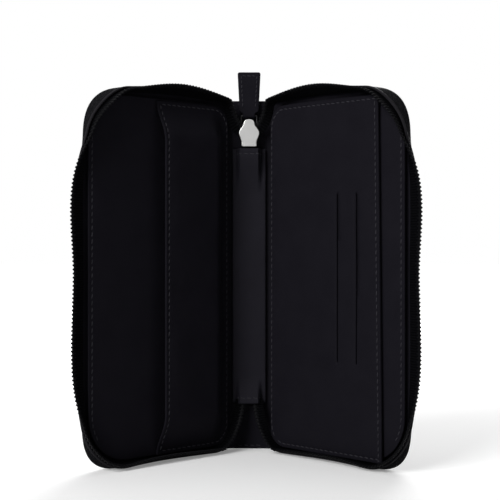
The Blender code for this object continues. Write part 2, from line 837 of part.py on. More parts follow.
def loose_runs(side):
    mouth = (
        side.sign * (TOOTH_HALF_WIDTH + GAP / 2),
        -CHAIN_DEPTH,
        SLIDER_BOTTOM + CHAIN_JOIN,
    )
    loose_run(
        side,
        f"{side.name}_top",
        CHAIN_FROM,
        mouth,
        (side.sign * 0.0060, 0.0012, 0.0090),
        0.004,
        TOP_RUN_TAPE,
    )
    hidden_end = (
        side.sign * LOWER_CHAIN_PLACE,
        -(GAP + BOARD + GAP + TOOTH_HALF_THICKNESS + 2 * GAP),
        STRIP_BOTTOM + HIDDEN_CHAIN,
    )
    loose_run(
        side,
        f"{side.name}_bottom",
        CHAIN_TO,
        hidden_end,
        (0.0, -0.004, -0.018),
        0.006,
        BOTTOM_RUN_TAPE,
        BOTTOM_TAPE_SHARE,
    )


# ---------------------------------------------------------------- slider and pull


def plate_outline(nose):
    """Half of a slider plate's outline mirrored: square foot, wide shoulders, domed nose."""
    foot = SLIDER_MOUTH_HALF_WIDTH
    shoulder = SLIDER_SHOULDER
    height = SLIDER_NOSE_HEIGHT + nose
    half = [
        (foot - 0.0005, 0.0),
        (foot, 0.0005),
        (foot, 0.55 * SLIDER_SHOULDER_HEIGHT),
        (0.6 * foot + 0.4 * shoulder, 0.8 * SLIDER_SHOULDER_HEIGHT),
        (shoulder, SLIDER_SHOULDER_HEIGHT),
    ]
    dome = height - SLIDER_SHOULDER_HEIGHT
    for step in range(1, 6):
        angle = step / 5 * math.pi / 2
        half.append((shoulder * math.cos(angle) ** 0.85, height - dome * (1 - math.sin(angle))))
    mirrored = [(-x, z) for x, z in reversed(half[:-1])]
    return half + mirrored


def slider_body(parent):
    """Two plates held apart by the wedge, with a guide flange down each side and the bridge behind."""
    lift = [(x, SLIDER_BOTTOM + z) for x, z in plate_outline(0.0)]
    lift_back = [(x, SLIDER_BOTTOM + z) for x, z in plate_outline(SLIDER_BACK_NOSE)]
    back = SLIDER_BACK
    channel_back = back + SLIDER_PLATE
    channel_front = channel_back + SLIDER_SLOT + CHANNEL
    front = channel_front + SLIDER_PLATE
    body = as_mesh(
        upright_sheet("slider_body", lift, front, channel_front, SATIN_NICKEL, parent)
    )
    back_plate = as_mesh(
        upright_sheet("back_plate", lift_back, channel_back, back, SATIN_NICKEL, parent),
        HELPERS,
    )
    overlap = SLIDER_PLATE / 2
    pieces = [back_plate, slider_wedge(parent, channel_front + overlap, channel_back - overlap)]
    for sign in (-1, 1):
        outer = sign * (SLIDER_MOUTH_HALF_WIDTH - GAP / 2)
        inner = outer - sign * SLIDER_FLANGE
        pieces.append(
            box(
                f"flange_{'left' if sign < 0 else 'right'}",
                (min(outer, inner), -channel_front - overlap, SLIDER_BOTTOM + GAP),
                (
                    max(outer, inner),
                    -channel_back - SLIDER_SLOT,
                    SLIDER_BOTTOM + 0.6 * SLIDER_SHOULDER_HEIGHT,
                ),
                SATIN_NICKEL,
                parent,
                HELPERS,
            )
        )
    pieces.append(slider_bridge(parent))
    for piece in pieces:
        cut_or_join(body, piece, "UNION")
    return body


def slider_wedge(parent, front, back):
    """The post that parts the two half chains: an upright triangle, point down."""
    bottom = SLIDER_BOTTOM + WEDGE_BOTTOM
    top = SLIDER_BOTTOM + SLIDER_NOSE_HEIGHT - SLIDER_PLATE
    outline = [(0.0, bottom), (WEDGE_HALF_WIDTH, top), (-WEDGE_HALF_WIDTH, top)]
    rings = [[(x, -depth, z) for x, z in outline] for depth in (front, back)]
    return loft("wedge", rings, SATIN_NICKEL, parent, HELPERS)


def slider_bridge(parent):
    """The arch on the back plate that holds the ring."""
    room = 2 * (WIRE_RADIUS + RING_CLEARANCE)
    low = SLIDER_BOTTOM + BRIDGE_BOTTOM
    high = SLIDER_BOTTOM + BRIDGE_TOP
    foot = -SLIDER_BACK - SLIDER_PLATE / 2
    under = -SLIDER_BACK + room
    crest = under + BRIDGE_THICKNESS
    leg = BRIDGE_THICKNESS
    profile = [
        (foot, low),
        (under, low),
        (crest, low + leg),
        (crest, high - leg),
        (under, high),
        (foot, high),
        (foot, high - leg),
        (under, high - leg),
        (under, low + leg),
        (foot, low + leg),
    ]
    rings = [[(x, y, z) for y, z in profile] for x in (-BRIDGE_HALF_WIDTH, BRIDGE_HALF_WIDTH)]
    return loft("bridge", rings, SATIN_NICKEL, parent, HELPERS)


RING_DEPTH = SLIDER_BACK - WIRE_RADIUS - RING_CLEARANCE
RING_PIVOT_HEIGHT = (
    SLIDER_BOTTOM + BRIDGE_TOP - BRIDGE_THICKNESS - WIRE_RADIUS - RING_CLEARANCE
)


def pull_ring(parent):
    """A rounded oblong of wire, its lower bar under the bridge and its upper bar in the pull."""
    half = RING_HALF_WIDTH - WIRE_RADIUS
    corners = [(-half, 0.0), (half, 0.0), (half, RING_LENGTH), (-half, RING_LENGTH)]
    curve = bpy.data.curves.new("pull_ring", "CURVE")
    curve.dimensions = "3D"
    curve.bevel_depth = WIRE_RADIUS
    curve.bevel_resolution = 1
    outline = rounded_outline(corners, (RING_CORNER,) * 4, steps=3)
    spline = curve.splines.new("POLY")
    spline.points.add(len(outline) - 1)
    for point, (x, z) in zip(spline.points, outline):
        point.co = (x, 0.0, z, 1.0)
    spline.use_cyclic_u = True
    return add_object("pull_ring", curve, SATIN_NICKEL, parent)


def leather_pull(parent):
    """A strap folded round the ring's upper bar and sewn to itself, narrowed where it passes the ring."""
    fold_radius = WIRE_RADIUS + RING_CLEARANCE + PULL_LEATHER
    below = [(-fold_radius * math.cos(a)) for a in np.linspace(0.0, math.pi / 2, 6)[:-1]]
    below[0] *= 0.985
    above = list(np.linspace(0.0, PULL_LENGTH - PULL_THICKNESS / 2, 14))
    tip = [PULL_LENGTH - 0.4 * PULL_THICKNESS, PULL_LENGTH - 0.15 * PULL_THICKNESS, PULL_LENGTH]
    height = np.array(below + above + tip)
    round_fold = np.sqrt(np.clip(fold_radius**2 - np.minimum(height, 0.0) ** 2, 0.0, None))
    flat = PULL_THICKNESS / 2
    drawn_in = smooth_step(height / PULL_BEND_RUN)
    half_thickness = round_fold + (flat - round_fold) * drawn_in
    end_round = np.clip(1 - (PULL_LENGTH - height) / flat, 0.0, 0.97)
    half_thickness = half_thickness * np.sqrt(1 - end_round**2)
    widening = smooth_step((height - fold_radius) / (0.6 * PULL_BEND_RUN))
    half_width = PULL_NECK_HALF_WIDTH + (PULL_HALF_WIDTH - PULL_NECK_HALF_WIDTH) * widening
    half_width += (PULL_END_HALF_WIDTH - PULL_HALF_WIDTH) * np.clip(height / PULL_LENGTH, 0, 1)
    middle = np.stack([0 * height, 0 * height, height], axis=1)
    rings = ribbon_rings(
        middle,
        np.array([1.0, 0.0, 0.0]),
        np.array([0.0, 1.0, 0.0]),
        half_width,
        half_thickness,
    )
    pull = loft("leather_pull", rings, SMOOTH_LEATHER, parent)
    eye_mesh = bpy.data.meshes.new("pull_eye")
    shape = bmesh.new()
    bmesh.ops.create_cone(
        shape,
        cap_ends=True,
        segments=12,
        radius1=WIRE_RADIUS + RING_CLEARANCE,
        radius2=WIRE_RADIUS + RING_CLEARANCE,
        depth=4 * PULL_NECK_HALF_WIDTH,
    )
    shape.to_mesh(eye_mesh)
    shape.free()
    eye = add_object("pull_eye", eye_mesh, SMOOTH_LEATHER, parent, HELPERS)
    eye.rotation_euler = (0.0, math.pi / 2, 0.0)
    cut_or_join(pull, eye, "DIFFERENCE")
    return pull


def slider_and_pull():
    slider = add_empty("slider_travel")
    slider_body(slider)
    ring = add_empty("ring_pivot", (0.0, -RING_DEPTH, RING_PIVOT_HEIGHT), parent=slider)
    pull_ring(ring)
    pull = add_empty("pull_pivot", (0.0, 0.0, RING_LENGTH), (-PULL_LEAN, 0.0, 0.0), ring)
    leather_pull(pull)


# ---------------------------------------------------------------- assembly


def build_cover(side, layer_thicknesses):
    parent = cover_empty(side)
    layers = stack_layers(layer_thicknesses)
    cover_leather(side, parent)
    wall_tape(side, parent)
    wall_chain(side, parent)
    cover_layers(side, parent, layers)
    return parent, layers


def build_organizer():
    spine_leather()
    spine_stiffener()
    spine_strip()
    joined_chain()
    joined_tape()
    for side in (LEFT, RIGHT):
        fold_leather(side)
        loose_runs(side)
    common = (BOARD, LINING, SLIP_PANEL)
    left_parent, left_layers = build_cover(LEFT, common)
    phone_pocket(left_parent, left_layers[-1][1])
    right_parent, right_layers = build_cover(
        RIGHT, (*common, CARD_LINER, CARD_LINER, POCKET_PANEL)
    )
    card_liners(right_parent, right_layers[3:5])
    card_panel(right_parent, right_layers[5])
    slider_and_pull()


build_organizer()
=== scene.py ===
"""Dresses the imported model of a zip-around leather travel document organizer for its render.

The case stands on its lower edges, open to about a right angle. Everything is in metres in the frame
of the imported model: +X to the right, +Y away from the viewer, +Z up, and the origin in the middle of
the spine leather's lower edge. A point of a cover is written (u, w, z): u runs from the fold line to
the outer edge, w from the outer leather's inner face into the case.
"""

import logging
import math
from dataclasses import dataclass, field
from enum import Enum

import bmesh
import bpy
import numpy as np
from numpy.typing import NDArray
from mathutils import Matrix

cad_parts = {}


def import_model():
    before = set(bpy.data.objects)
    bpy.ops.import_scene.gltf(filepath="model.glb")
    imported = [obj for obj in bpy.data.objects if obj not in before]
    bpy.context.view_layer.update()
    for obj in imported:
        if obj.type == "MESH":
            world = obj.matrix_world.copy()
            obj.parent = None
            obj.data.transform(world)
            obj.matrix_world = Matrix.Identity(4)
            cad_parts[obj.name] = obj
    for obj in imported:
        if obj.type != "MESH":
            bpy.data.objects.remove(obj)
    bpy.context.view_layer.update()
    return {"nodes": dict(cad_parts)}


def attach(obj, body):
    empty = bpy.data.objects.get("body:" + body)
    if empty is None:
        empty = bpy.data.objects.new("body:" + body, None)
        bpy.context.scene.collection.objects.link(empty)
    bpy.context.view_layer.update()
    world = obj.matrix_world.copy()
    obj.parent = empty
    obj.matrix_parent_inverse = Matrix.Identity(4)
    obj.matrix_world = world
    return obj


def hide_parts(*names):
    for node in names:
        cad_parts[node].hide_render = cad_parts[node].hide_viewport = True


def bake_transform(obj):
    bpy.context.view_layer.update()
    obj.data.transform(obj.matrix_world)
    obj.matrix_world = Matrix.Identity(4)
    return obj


LOG = logging.getLogger("travel_document_organizer")
Points = NDArray[np.float64]
Faces = list[list[int]]
MM = 0.001


# ---------------------------------------------------------------- small mathematics


def smooth_step(value: Points | float) -> Points:
    """Eased step 3v^2 - 2v^3 of a value held between 0 and 1.

    Args:
        value: Numbers that run from below 0 to above 1 where the step lies.

    Returns:
        Numbers from 0 to 1.
    """
    held = np.clip(value, 0.0, 1.0)
    return held * held * (3.0 - 2.0 * held)


def smooth_through(places: Points, values: Points, at: Points) -> Points:
    """Cubic Hermite curve through values at rising places.

    Args:
        places: Where the values are given, rising.
        values: The values there.
        at: Where the curve is read.

    Returns:
        The curve's values, one for each entry of at.
    """
    slopes = np.gradient(values, places)
    i = np.clip(np.searchsorted(places, at) - 1, 0, len(places) - 2)
    span = places[i + 1] - places[i]
    t = (at - places[i]) / span
    start = values[i] * (1 + 2 * t) * (1 - t) ** 2 + slopes[i] * span * t * (1 - t) ** 2
    end = values[i + 1] * t**2 * (3 - 2 * t) + slopes[i + 1] * span * t**2 * (t - 1)
    return start + end


def unit(vectors: Points) -> Points:
    """Vectors scaled to length 1; a vector of no length stays as it is."""
    return vectors / np.maximum(np.linalg.norm(vectors, axis=-1, keepdims=True), 1e-12)


def walked(line: Points) -> Points:
    """Distance walked along a line of points, from 0 at its first point."""
    steps = np.linalg.norm(np.diff(line, axis=0), axis=-1)
    return np.concatenate([[0.0], np.cumsum(steps)])


def slow_waves(a: Points, b: Points, phase: float) -> Points:
    """Gentle unevenness of sewn leather: three crossed sine waves, 23 to 71 mm long.

    Args:
        a: One surface coordinate in metres.
        b: The other surface coordinate in metres.
        phase: Shifts the waves, so that two panels differ.

    Returns:
        A height from about -1 to 1.
    """
    long_wave = np.sin(2 * math.pi * (0.31 * a + b) / (71 * MM) + phase)
    cross_wave = np.sin(2 * math.pi * (a - 0.42 * b) / (43 * MM) + 2.3 * phase)
    short_wave = np.sin(2 * math.pi * (a + 0.8 * b) / (23 * MM) + 4.1 * phase)
    return 0.5 * long_wave + 0.33 * cross_wave + 0.17 * short_wave


# ---------------------------------------------------------------- meshes from arrays


def strip_faces(rows: int, columns: int, closed_rows: bool, closed_columns: bool) -> Faces:
    """Quads of a grid of points stored row by row.

    Args:
        rows: Number of rows.
        columns: Number of columns.
        closed_rows: Joins the last row to the first.
        closed_columns: Joins the last column to the first.

    Returns:
        Vertex indices of each quad.
    """
    index = np.arange(rows * columns).reshape(rows, columns)
    down = np.roll(index, -1, axis=0)
    right = np.roll(index, -1, axis=1)
    both = np.roll(down, -1, axis=1)
    quads = np.stack([index, right, both, down], axis=-1)
    quads = quads if closed_rows else quads[:-1]
    quads = quads if closed_columns else quads[:, :-1]
    return quads.reshape(-1, 4).tolist()


def make_piece(
    name: str,
    points: Points,
    faces: Faces,
    finish: bpy.types.Material,
    along: Points | None = None,
) -> bpy.types.Object:
    """Makes a mesh object at the origin.

    Args:
        name: Name of the piece.
        points: Vertex positions in the row frame, shape (n, 3).
        faces: Vertex indices of each face.
        finish: Material of the whole piece.
        along: Two surface coordinates of each vertex in metres, kept as the piece's UV map.

    Returns:
        The object, smooth except across edges of more than 40 degrees.
    """
    mesh = bpy.data.meshes.new(name)
    mesh.from_pydata(points.reshape(-1, 3).tolist(), [], faces)
    if along is not None:
        corner = np.zeros(len(mesh.loops), dtype=np.int64)
        mesh.loops.foreach_get("vertex_index", corner)
        layer = mesh.uv_layers.new(name="surface_metres")
        layer.data.foreach_set("uv", along.reshape(-1, 2)[corner].astype(np.float32).ravel())
    shape = bmesh.new()
    shape.from_mesh(mesh)
    bmesh.ops.recalc_face_normals(shape, faces=shape.faces)
    shape.to_mesh(mesh)
    shape.free()
    mesh.materials.append(finish)
    mesh.shade_smooth()
    mesh.set_sharp_from_angle(angle=math.radians(40))
    piece = bpy.data.objects.new(name, mesh)
    bpy.context.scene.collection.objects.link(piece)
    return piece


def swept_loop(rings: Points) -> Faces:
    """Faces of a solid through closed rings of points, with both ends filled.

    Args:
        rings: Shape (rings, corners, 3).

    Returns:
        Vertex indices of each face.
    """
    count, corners = rings.shape[:2]
    faces = strip_faces(count, corners, False, True)
    faces.append(list(range(corners))[::-1])
    faces.append(list(range((count - 1) * corners, count * corners)))
    return faces


def use(piece: bpy.types.Object, body: str, slot: str | None, *nodes: str) -> bpy.types.Object:
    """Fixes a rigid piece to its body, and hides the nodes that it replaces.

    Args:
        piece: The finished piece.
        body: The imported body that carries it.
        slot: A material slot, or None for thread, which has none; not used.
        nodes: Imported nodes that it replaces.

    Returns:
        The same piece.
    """
    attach(piece, body)
    if nodes:
        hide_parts(*nodes)
    LOG.info("%s rides on %s", piece.name, body)
    return piece


# ---------------------------------------------------------------- finishes


def linear(hex_colour: str) -> tuple[float, float, float, float]:
    """Turns an sRGB hex colour into linear red, green, blue and an alpha of 1.

    Args:
        hex_colour: Six hex digits after a number sign.

    Returns:
        Four numbers for a colour socket.
    """
    channels = [int(hex_colour[i : i + 2], 16) / 255 for i in (1, 3, 5)]
    turned = [c / 12.92 if c <= 0.04045 else ((c + 0.055) / 1.055) ** 2.4 for c in channels]
    return (turned[0], turned[1], turned[2], 1.0)


class Coordinates(Enum):
    """What a pattern follows: the piece's place in the object, or its own surface in metres."""

    OBJECT = "Object"
    SURFACE = "UV"


@dataclass
class NodeSheet:
    """A material's node tree, with one short way to add to it."""

    name: str
    material: bpy.types.Material = field(init=False)
    shader: bpy.types.Node = field(init=False)

    def __post_init__(self) -> None:
        """Makes an empty Principled material."""
        self.material = bpy.data.materials.new(self.name)
        self.material.use_nodes = True
        self.shader = self.material.node_tree.nodes["Principled BSDF"]

    def add(self, kind: str, settings: dict | None = None, links: dict | None = None) -> bpy.types.Node:
        """Adds a node with its settings and links.

        Args:
            kind: Blender's node type.
            settings: Attributes of the node, or values of its inputs where the key is an input's name.
            links: Output sockets to join to the node's inputs, by input name or index.

        Returns:
            The new node.
        """
        node = self.material.node_tree.nodes.new(kind)
        for key, value in (settings or {}).items():
            if isinstance(key, int) or key in node.inputs:
                node.inputs[key].default_value = value
            else:
                setattr(node, key, value)
        for key, socket in (links or {}).items():
            self.material.node_tree.links.new(socket, node.inputs[key])
        return node

    def coordinates(self, follows: Coordinates) -> bpy.types.NodeSocket:
        """The coordinate output that a pattern reads."""
        return self.add("ShaderNodeTexCoord").outputs[follows.value]

    def feed(self, socket: str, output: bpy.types.NodeSocket) -> None:
        """Joins an output to one of the shader's inputs."""
        self.material.node_tree.links.new(output, self.shader.inputs[socket])

    def noise(self, at: bpy.types.NodeSocket, size: float, detail: float = 3.0) -> bpy.types.NodeSocket:
        """Cloudy noise whose lumps are about size metres across."""
        settings = {"Scale": 1.0 / size, "Detail": detail, "Roughness": 0.55}
        return self.add("ShaderNodeTexNoise", settings, {"Vector": at}).outputs["Fac"]

    def cells(self, at: bpy.types.NodeSocket, size: float, feature: str) -> bpy.types.NodeSocket:
        """Distance inside leather-like cells that are about size metres across."""
        settings = {"feature": feature, "Scale": 1.0 / size}
        return self.add("ShaderNodeTexVoronoi", settings, {"Vector": at}).outputs["Distance"]

    def ramp(
        self, value: bpy.types.NodeSocket, low: float, high: float, to_low: float, to_high: float
    ) -> bpy.types.NodeSocket:
        """Maps a value from one range to another, held at both ends."""
        settings = {"From Min": low, "From Max": high, "To Min": to_low, "To Max": to_high}
        return self.add("ShaderNodeMapRange", settings, {"Value": value}).outputs["Result"]

    def raise_by(
        self, height: bpy.types.NodeSocket, distance: float, under: bpy.types.NodeSocket | None = None
    ) -> bpy.types.NodeSocket:
        """Bump of a given depth in metres, laid over another bump."""
        links = {"Height": height}
        if under is not None:
            links["Normal"] = under
        bump = self.add("ShaderNodeBump", {"Distance": distance, "Strength": 1.0}, links)
        return bump.outputs["Normal"]

    def tint(
        self, amount: bpy.types.NodeSocket, dark: str, light: str
    ) -> bpy.types.NodeSocket:
        """A colour between two hex colours, by an amount from 0 to 1."""
        node = self.add("ShaderNodeMix", {"data_type": "RGBA"}, {0: amount})
        node.inputs[6].default_value = linear(dark)
        node.inputs[7].default_value = linear(light)
        return node.outputs[2]


@dataclass(frozen=True)
class SmoothLeather:
    """Smooth calf leather, drum dyed and lightly finished: a soft sheen, fine pores, slight clouding."""

    name: str
    dark: str = "#121116"
    light: str = "#18171c"
    roughness: float = 0.62
    gloss: float = 0.02
    pore: float = 0.5 * MM
    cloud: float = 14 * MM

    def build(self) -> bpy.types.Material:
        """Makes the material.

        Returns:
            A Principled material with pores as bump and clouds in colour and roughness.
        """
        sheet = NodeSheet(self.name)
        at = sheet.coordinates(Coordinates.OBJECT)
        cloud = sheet.noise(at, self.cloud)
        pores = sheet.cells(at, self.pore, "F1")
        grain = sheet.noise(at, 0.16 * MM, 2.0)
        sheet.feed("Base Color", sheet.tint(cloud, self.dark, self.light))
        rough = sheet.ramp(cloud, 0.3, 0.7, self.roughness - 0.05, self.roughness + 0.05)
        sheet.feed("Roughness", rough)
        under = sheet.raise_by(pores, 0.020 * MM)
        under = sheet.raise_by(grain, 0.012 * MM, under)
        sheet.feed("Normal", sheet.raise_by(sheet.noise(at, 6 * MM), 0.16 * MM, under))
        sheet.shader.inputs["Specular IOR Level"].default_value = self.gloss
        return sheet.material


@dataclass(frozen=True)
class GrainedLeather:
    """Pebbled cowhide, embossed in the press: rounded cells 1.1 mm across with darker valleys."""

    name: str
    valley: str = "#08080a"
    crown: str = "#1b1b1d"
    roughness: float = 0.62
    gloss: float = 0.02
    cell: float = 1.15 * MM

    def build(self) -> bpy.types.Material:
        """Makes the material.

        Returns:
            A Principled material whose bump and colour follow the pressed cells.
        """
        sheet = NodeSheet(self.name)
        at = sheet.coordinates(Coordinates.OBJECT)
        wander = sheet.add(
            "ShaderNodeTexNoise", {"Scale": 1 / (3 * MM), "Detail": 2.0}, {"Vector": at}
        ).outputs["Color"]
        moved = sheet.add(
            "ShaderNodeVectorMath", {"operation": "SCALE", "Scale": 0.9 * MM}, {0: wander}
        ).outputs[0]
        warped = sheet.add("ShaderNodeVectorMath", {"operation": "ADD"}, {0: at, 1: moved}).outputs[0]
        edge = sheet.cells(warped, self.cell, "DISTANCE_TO_EDGE")
        pebble = sheet.ramp(edge, 0.0, 0.28, 0.0, 1.0)
        sheet.feed("Base Color", sheet.tint(pebble, self.valley, self.crown))
        sheet.feed("Roughness", sheet.ramp(pebble, 0.0, 1.0, self.roughness + 0.15, self.roughness))
        under = sheet.raise_by(sheet.noise(at, 0.25 * MM, 2.0), 0.015 * MM)
        under = sheet.raise_by(pebble, 0.11 * MM, under)
        sheet.feed("Normal", sheet.raise_by(sheet.noise(at, 9 * MM), 0.25 * MM, under))
        sheet.shader.inputs["Specular IOR Level"].default_value = self.gloss
        return sheet.material


@dataclass(frozen=True)
class RibbedTape:
    """Woven polyester zip tape: ribs across it every 1.3 mm, and fine warp threads along it."""

    name: str
    furrow: str = "#020203"
    rib: str = "#0c0c0e"
    rib_pitch: float = 1.3 * MM
    warp_pitch: float = 0.65 * MM

    def build(self) -> bpy.types.Material:
        """Makes the material.

        Returns:
            A Principled material whose ribs follow the surface coordinate along the tape.
        """
        sheet = NodeSheet(self.name)
        at = sheet.coordinates(Coordinates.SURFACE)
        parts = sheet.add("ShaderNodeSeparateXYZ", {}, {"Vector": at})
        ribs = self._wave(sheet, parts.outputs["X"], self.rib_pitch)
        warps = self._wave(sheet, parts.outputs["Y"], self.warp_pitch)
        both = sheet.add("ShaderNodeMath", {"operation": "MULTIPLY_ADD", 1: 0.35}, {0: warps, 2: ribs})
        height = sheet.ramp(both.outputs[0], 0.0, 1.35, 0.0, 1.0)
        sheet.feed("Base Color", sheet.tint(height, self.furrow, self.rib))
        sheet.feed("Normal", sheet.raise_by(height, 0.16 * MM))
        sheet.shader.inputs["Roughness"].default_value = 0.8
        sheet.shader.inputs["Specular IOR Level"].default_value = 0.01
        return sheet.material

    @staticmethod
    def _wave(sheet: NodeSheet, value: bpy.types.NodeSocket, pitch: float) -> bpy.types.NodeSocket:
        """Half a sine wave and a half, from 0 to 1, with the given pitch in metres."""
        turn = sheet.add("ShaderNodeMath", {"operation": "MULTIPLY", 1: 2 * math.pi / pitch}, {0: value})
        sine = sheet.add("ShaderNodeMath", {"operation": "SINE"}, {0: turn.outputs[0]})
        return sheet.ramp(sine.outputs[0], -1.0, 1.0, 0.0, 1.0)


@dataclass(frozen=True)
class PlainFinish:
    """A finish with fine unevenness only: coil nylon, waxed thread, satin nickel or hidden board."""

    name: str
    dark: str
    light: str
    roughness: float
    metallic: float = 0.0
    gloss: float = 0.5
    grain: float = 0.3 * MM
    depth: float = 0.01 * MM

    def build(self) -> bpy.types.Material:
        """Makes the material.

        Returns:
            A Principled material with faint clouds in colour and roughness, and a fine bump.
        """
        sheet = NodeSheet(self.name)
        at = sheet.coordinates(Coordinates.OBJECT)
        fine = sheet.noise(at, self.grain, 2.0)
        sheet.feed("Base Color", sheet.tint(sheet.noise(at, 3 * MM), self.dark, self.light))
        sheet.feed("Roughness", sheet.ramp(fine, 0.3, 0.7, self.roughness - 0.04, self.roughness + 0.04))
        sheet.feed("Normal", sheet.raise_by(fine, self.depth))
        sheet.shader.inputs["Metallic"].default_value = self.metallic
        sheet.shader.inputs["Specular IOR Level"].default_value = self.gloss
        return sheet.material


@dataclass
class Finishes:
    """Every material of the organizer."""

    smooth: bpy.types.Material = field(init=False)
    dull_smooth: bpy.types.Material = field(init=False)
    grained: bpy.types.Material = field(init=False)
    edge: bpy.types.Material = field(init=False)
    tape: bpy.types.Material = field(init=False)
    coil: bpy.types.Material = field(init=False)
    thread: bpy.types.Material = field(init=False)
    nickel: bpy.types.Material = field(init=False)
    # The ring's nickel, painted darker as painted shade.
    dark_wire: bpy.types.Material = field(init=False)
    # The strip's calf leather, painted paler as painted light.
    strip: bpy.types.Material = field(init=False)
    lining: bpy.types.Material = field(init=False)
    board: bpy.types.Material = field(init=False)

    def __post_init__(self) -> None:
        """Builds the materials once."""
        self.smooth = SmoothLeather("smooth_calf_leather").build()
        self.dull_smooth = SmoothLeather("smooth_lining_leather", "#0e0d10", "#131216", 0.66, 0.015).build()
        self.grained = GrainedLeather("pebbled_cowhide").build()
        # A turned edge is skived thin and burnished, so it is smoother and catches more light.
        self.edge = SmoothLeather("burnished_turned_edge", "#19181b", "#201f22", 0.50, 0.03).build()
        self.tape = RibbedTape("ribbed_zip_tape").build()
        self.coil = PlainFinish("nylon_coil", "#08080a", "#111113", 0.50, gloss=0.04).build()
        self.thread = PlainFinish(
            "waxed_grey_thread", "#29282c", "#38373c", 0.6, gloss=0.05, grain=0.2 * MM
        ).build()
        self.nickel = PlainFinish(
            "satin_nickel", "#d2d2d1", "#dadad9", 0.30, 1.0, 0.5, 0.12 * MM, 0.003 * MM
        ).build()
        # The strip faces the viewer, and this paler tone is painted light: the covers' calf leather painted
        # lighter where the lamps fall on it, which sets it off from the covers beside it.
        self.strip = SmoothLeather("strip_leather", "#19181d", "#212026", 0.58, 0.03).build()
        # A dark metal tone is painted shade on the ring, which hangs behind the slider in less light; it
        # keeps the ring quiet beside the slider, and the real one looks brighter.
        self.dark_wire = PlainFinish(
            "oxidised_nickel_wire", "#2a2a2b", "#333334", 0.42, 1.0, 0.5, 0.12 * MM, 0.003 * MM
        ).build()
        self.lining = PlainFinish("pocket_twill", "#08080a", "#101012", 0.85, gloss=0.1).build()
        self.board = PlainFinish("grey_fibre_board", "#4a443c", "#5a534a", 0.9, gloss=0.1).build()


# ---------------------------------------------------------------- the cover's directions and wall


class Side(Enum):
    """The left or the right cover; the value is the sign of X."""

    LEFT = -1
    RIGHT = 1

    @property
    def label(self) -> str:
        """The side's name in piece names."""
        return self.name.lower()

    @property
    def body(self) -> str:
        """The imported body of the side's cover."""
        return f"{self.label}_cover"


@dataclass(frozen=True)
class CaseSizes:
    """Sizes that several pieces share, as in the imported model."""

    height: float = 193 * MM
    cover_length: float = 96.5 * MM
    corner: float = 24 * MM
    fold_half_spacing: float = 12.4 * MM
    leather: float = 1.3 * MM
    inner_face: float = -0.65 * MM
    wall_gap: float = 0.4 * MM
    tape: float = 0.7 * MM
    tooth_half: float = 1.6 * MM
    meeting_gap: float = 0.3 * MM
    wall_start: float = 3.0 * MM
    chain_start: float = 9.0 * MM
    gap: float = 0.3 * MM
    layer_start: float = 3.2 * MM
    spine_corner: float = 12 * MM
    left_opening: float = math.radians(43.3)
    right_opening: float = math.radians(45.6)

    @property
    def zip_inset(self) -> float:
        """Distance of the wall's foot from the cover's outline."""
        return self.leather + self.wall_gap + self.tape / 2

    @property
    def wall_height(self) -> float:
        """Distance of the chain's middle from the wall's foot."""
        return self.fold_half_spacing - self.meeting_gap / 2 - self.tooth_half


SIZES = CaseSizes()


def opening(side: Side) -> float:
    """How far a cover stands from the plane of the spine, in radians."""
    return SIZES.left_opening if side is Side.LEFT else SIZES.right_opening


def turned(side: Side, vectors: Points) -> Points:
    """Directions given as (u, w, z), in the row frame.

    Args:
        side: The cover.
        vectors: Shape (..., 3).

    Returns:
        The same directions in X, Y and Z.
    """
    x = side.value * vectors[..., 0]
    y = -vectors[..., 1]
    angle = -side.value * opening(side)
    across = x * math.cos(angle) - y * math.sin(angle)
    away = x * math.sin(angle) + y * math.cos(angle)
    return np.stack([across, away, vectors[..., 2]], axis=-1)


def placed(side: Side, points: Points) -> Points:
    """Points given as (u, w, z), in the row frame."""
    fold = np.array([side.value * SIZES.fold_half_spacing, SIZES.inner_face, 0.0])
    return turned(side, points) + fold


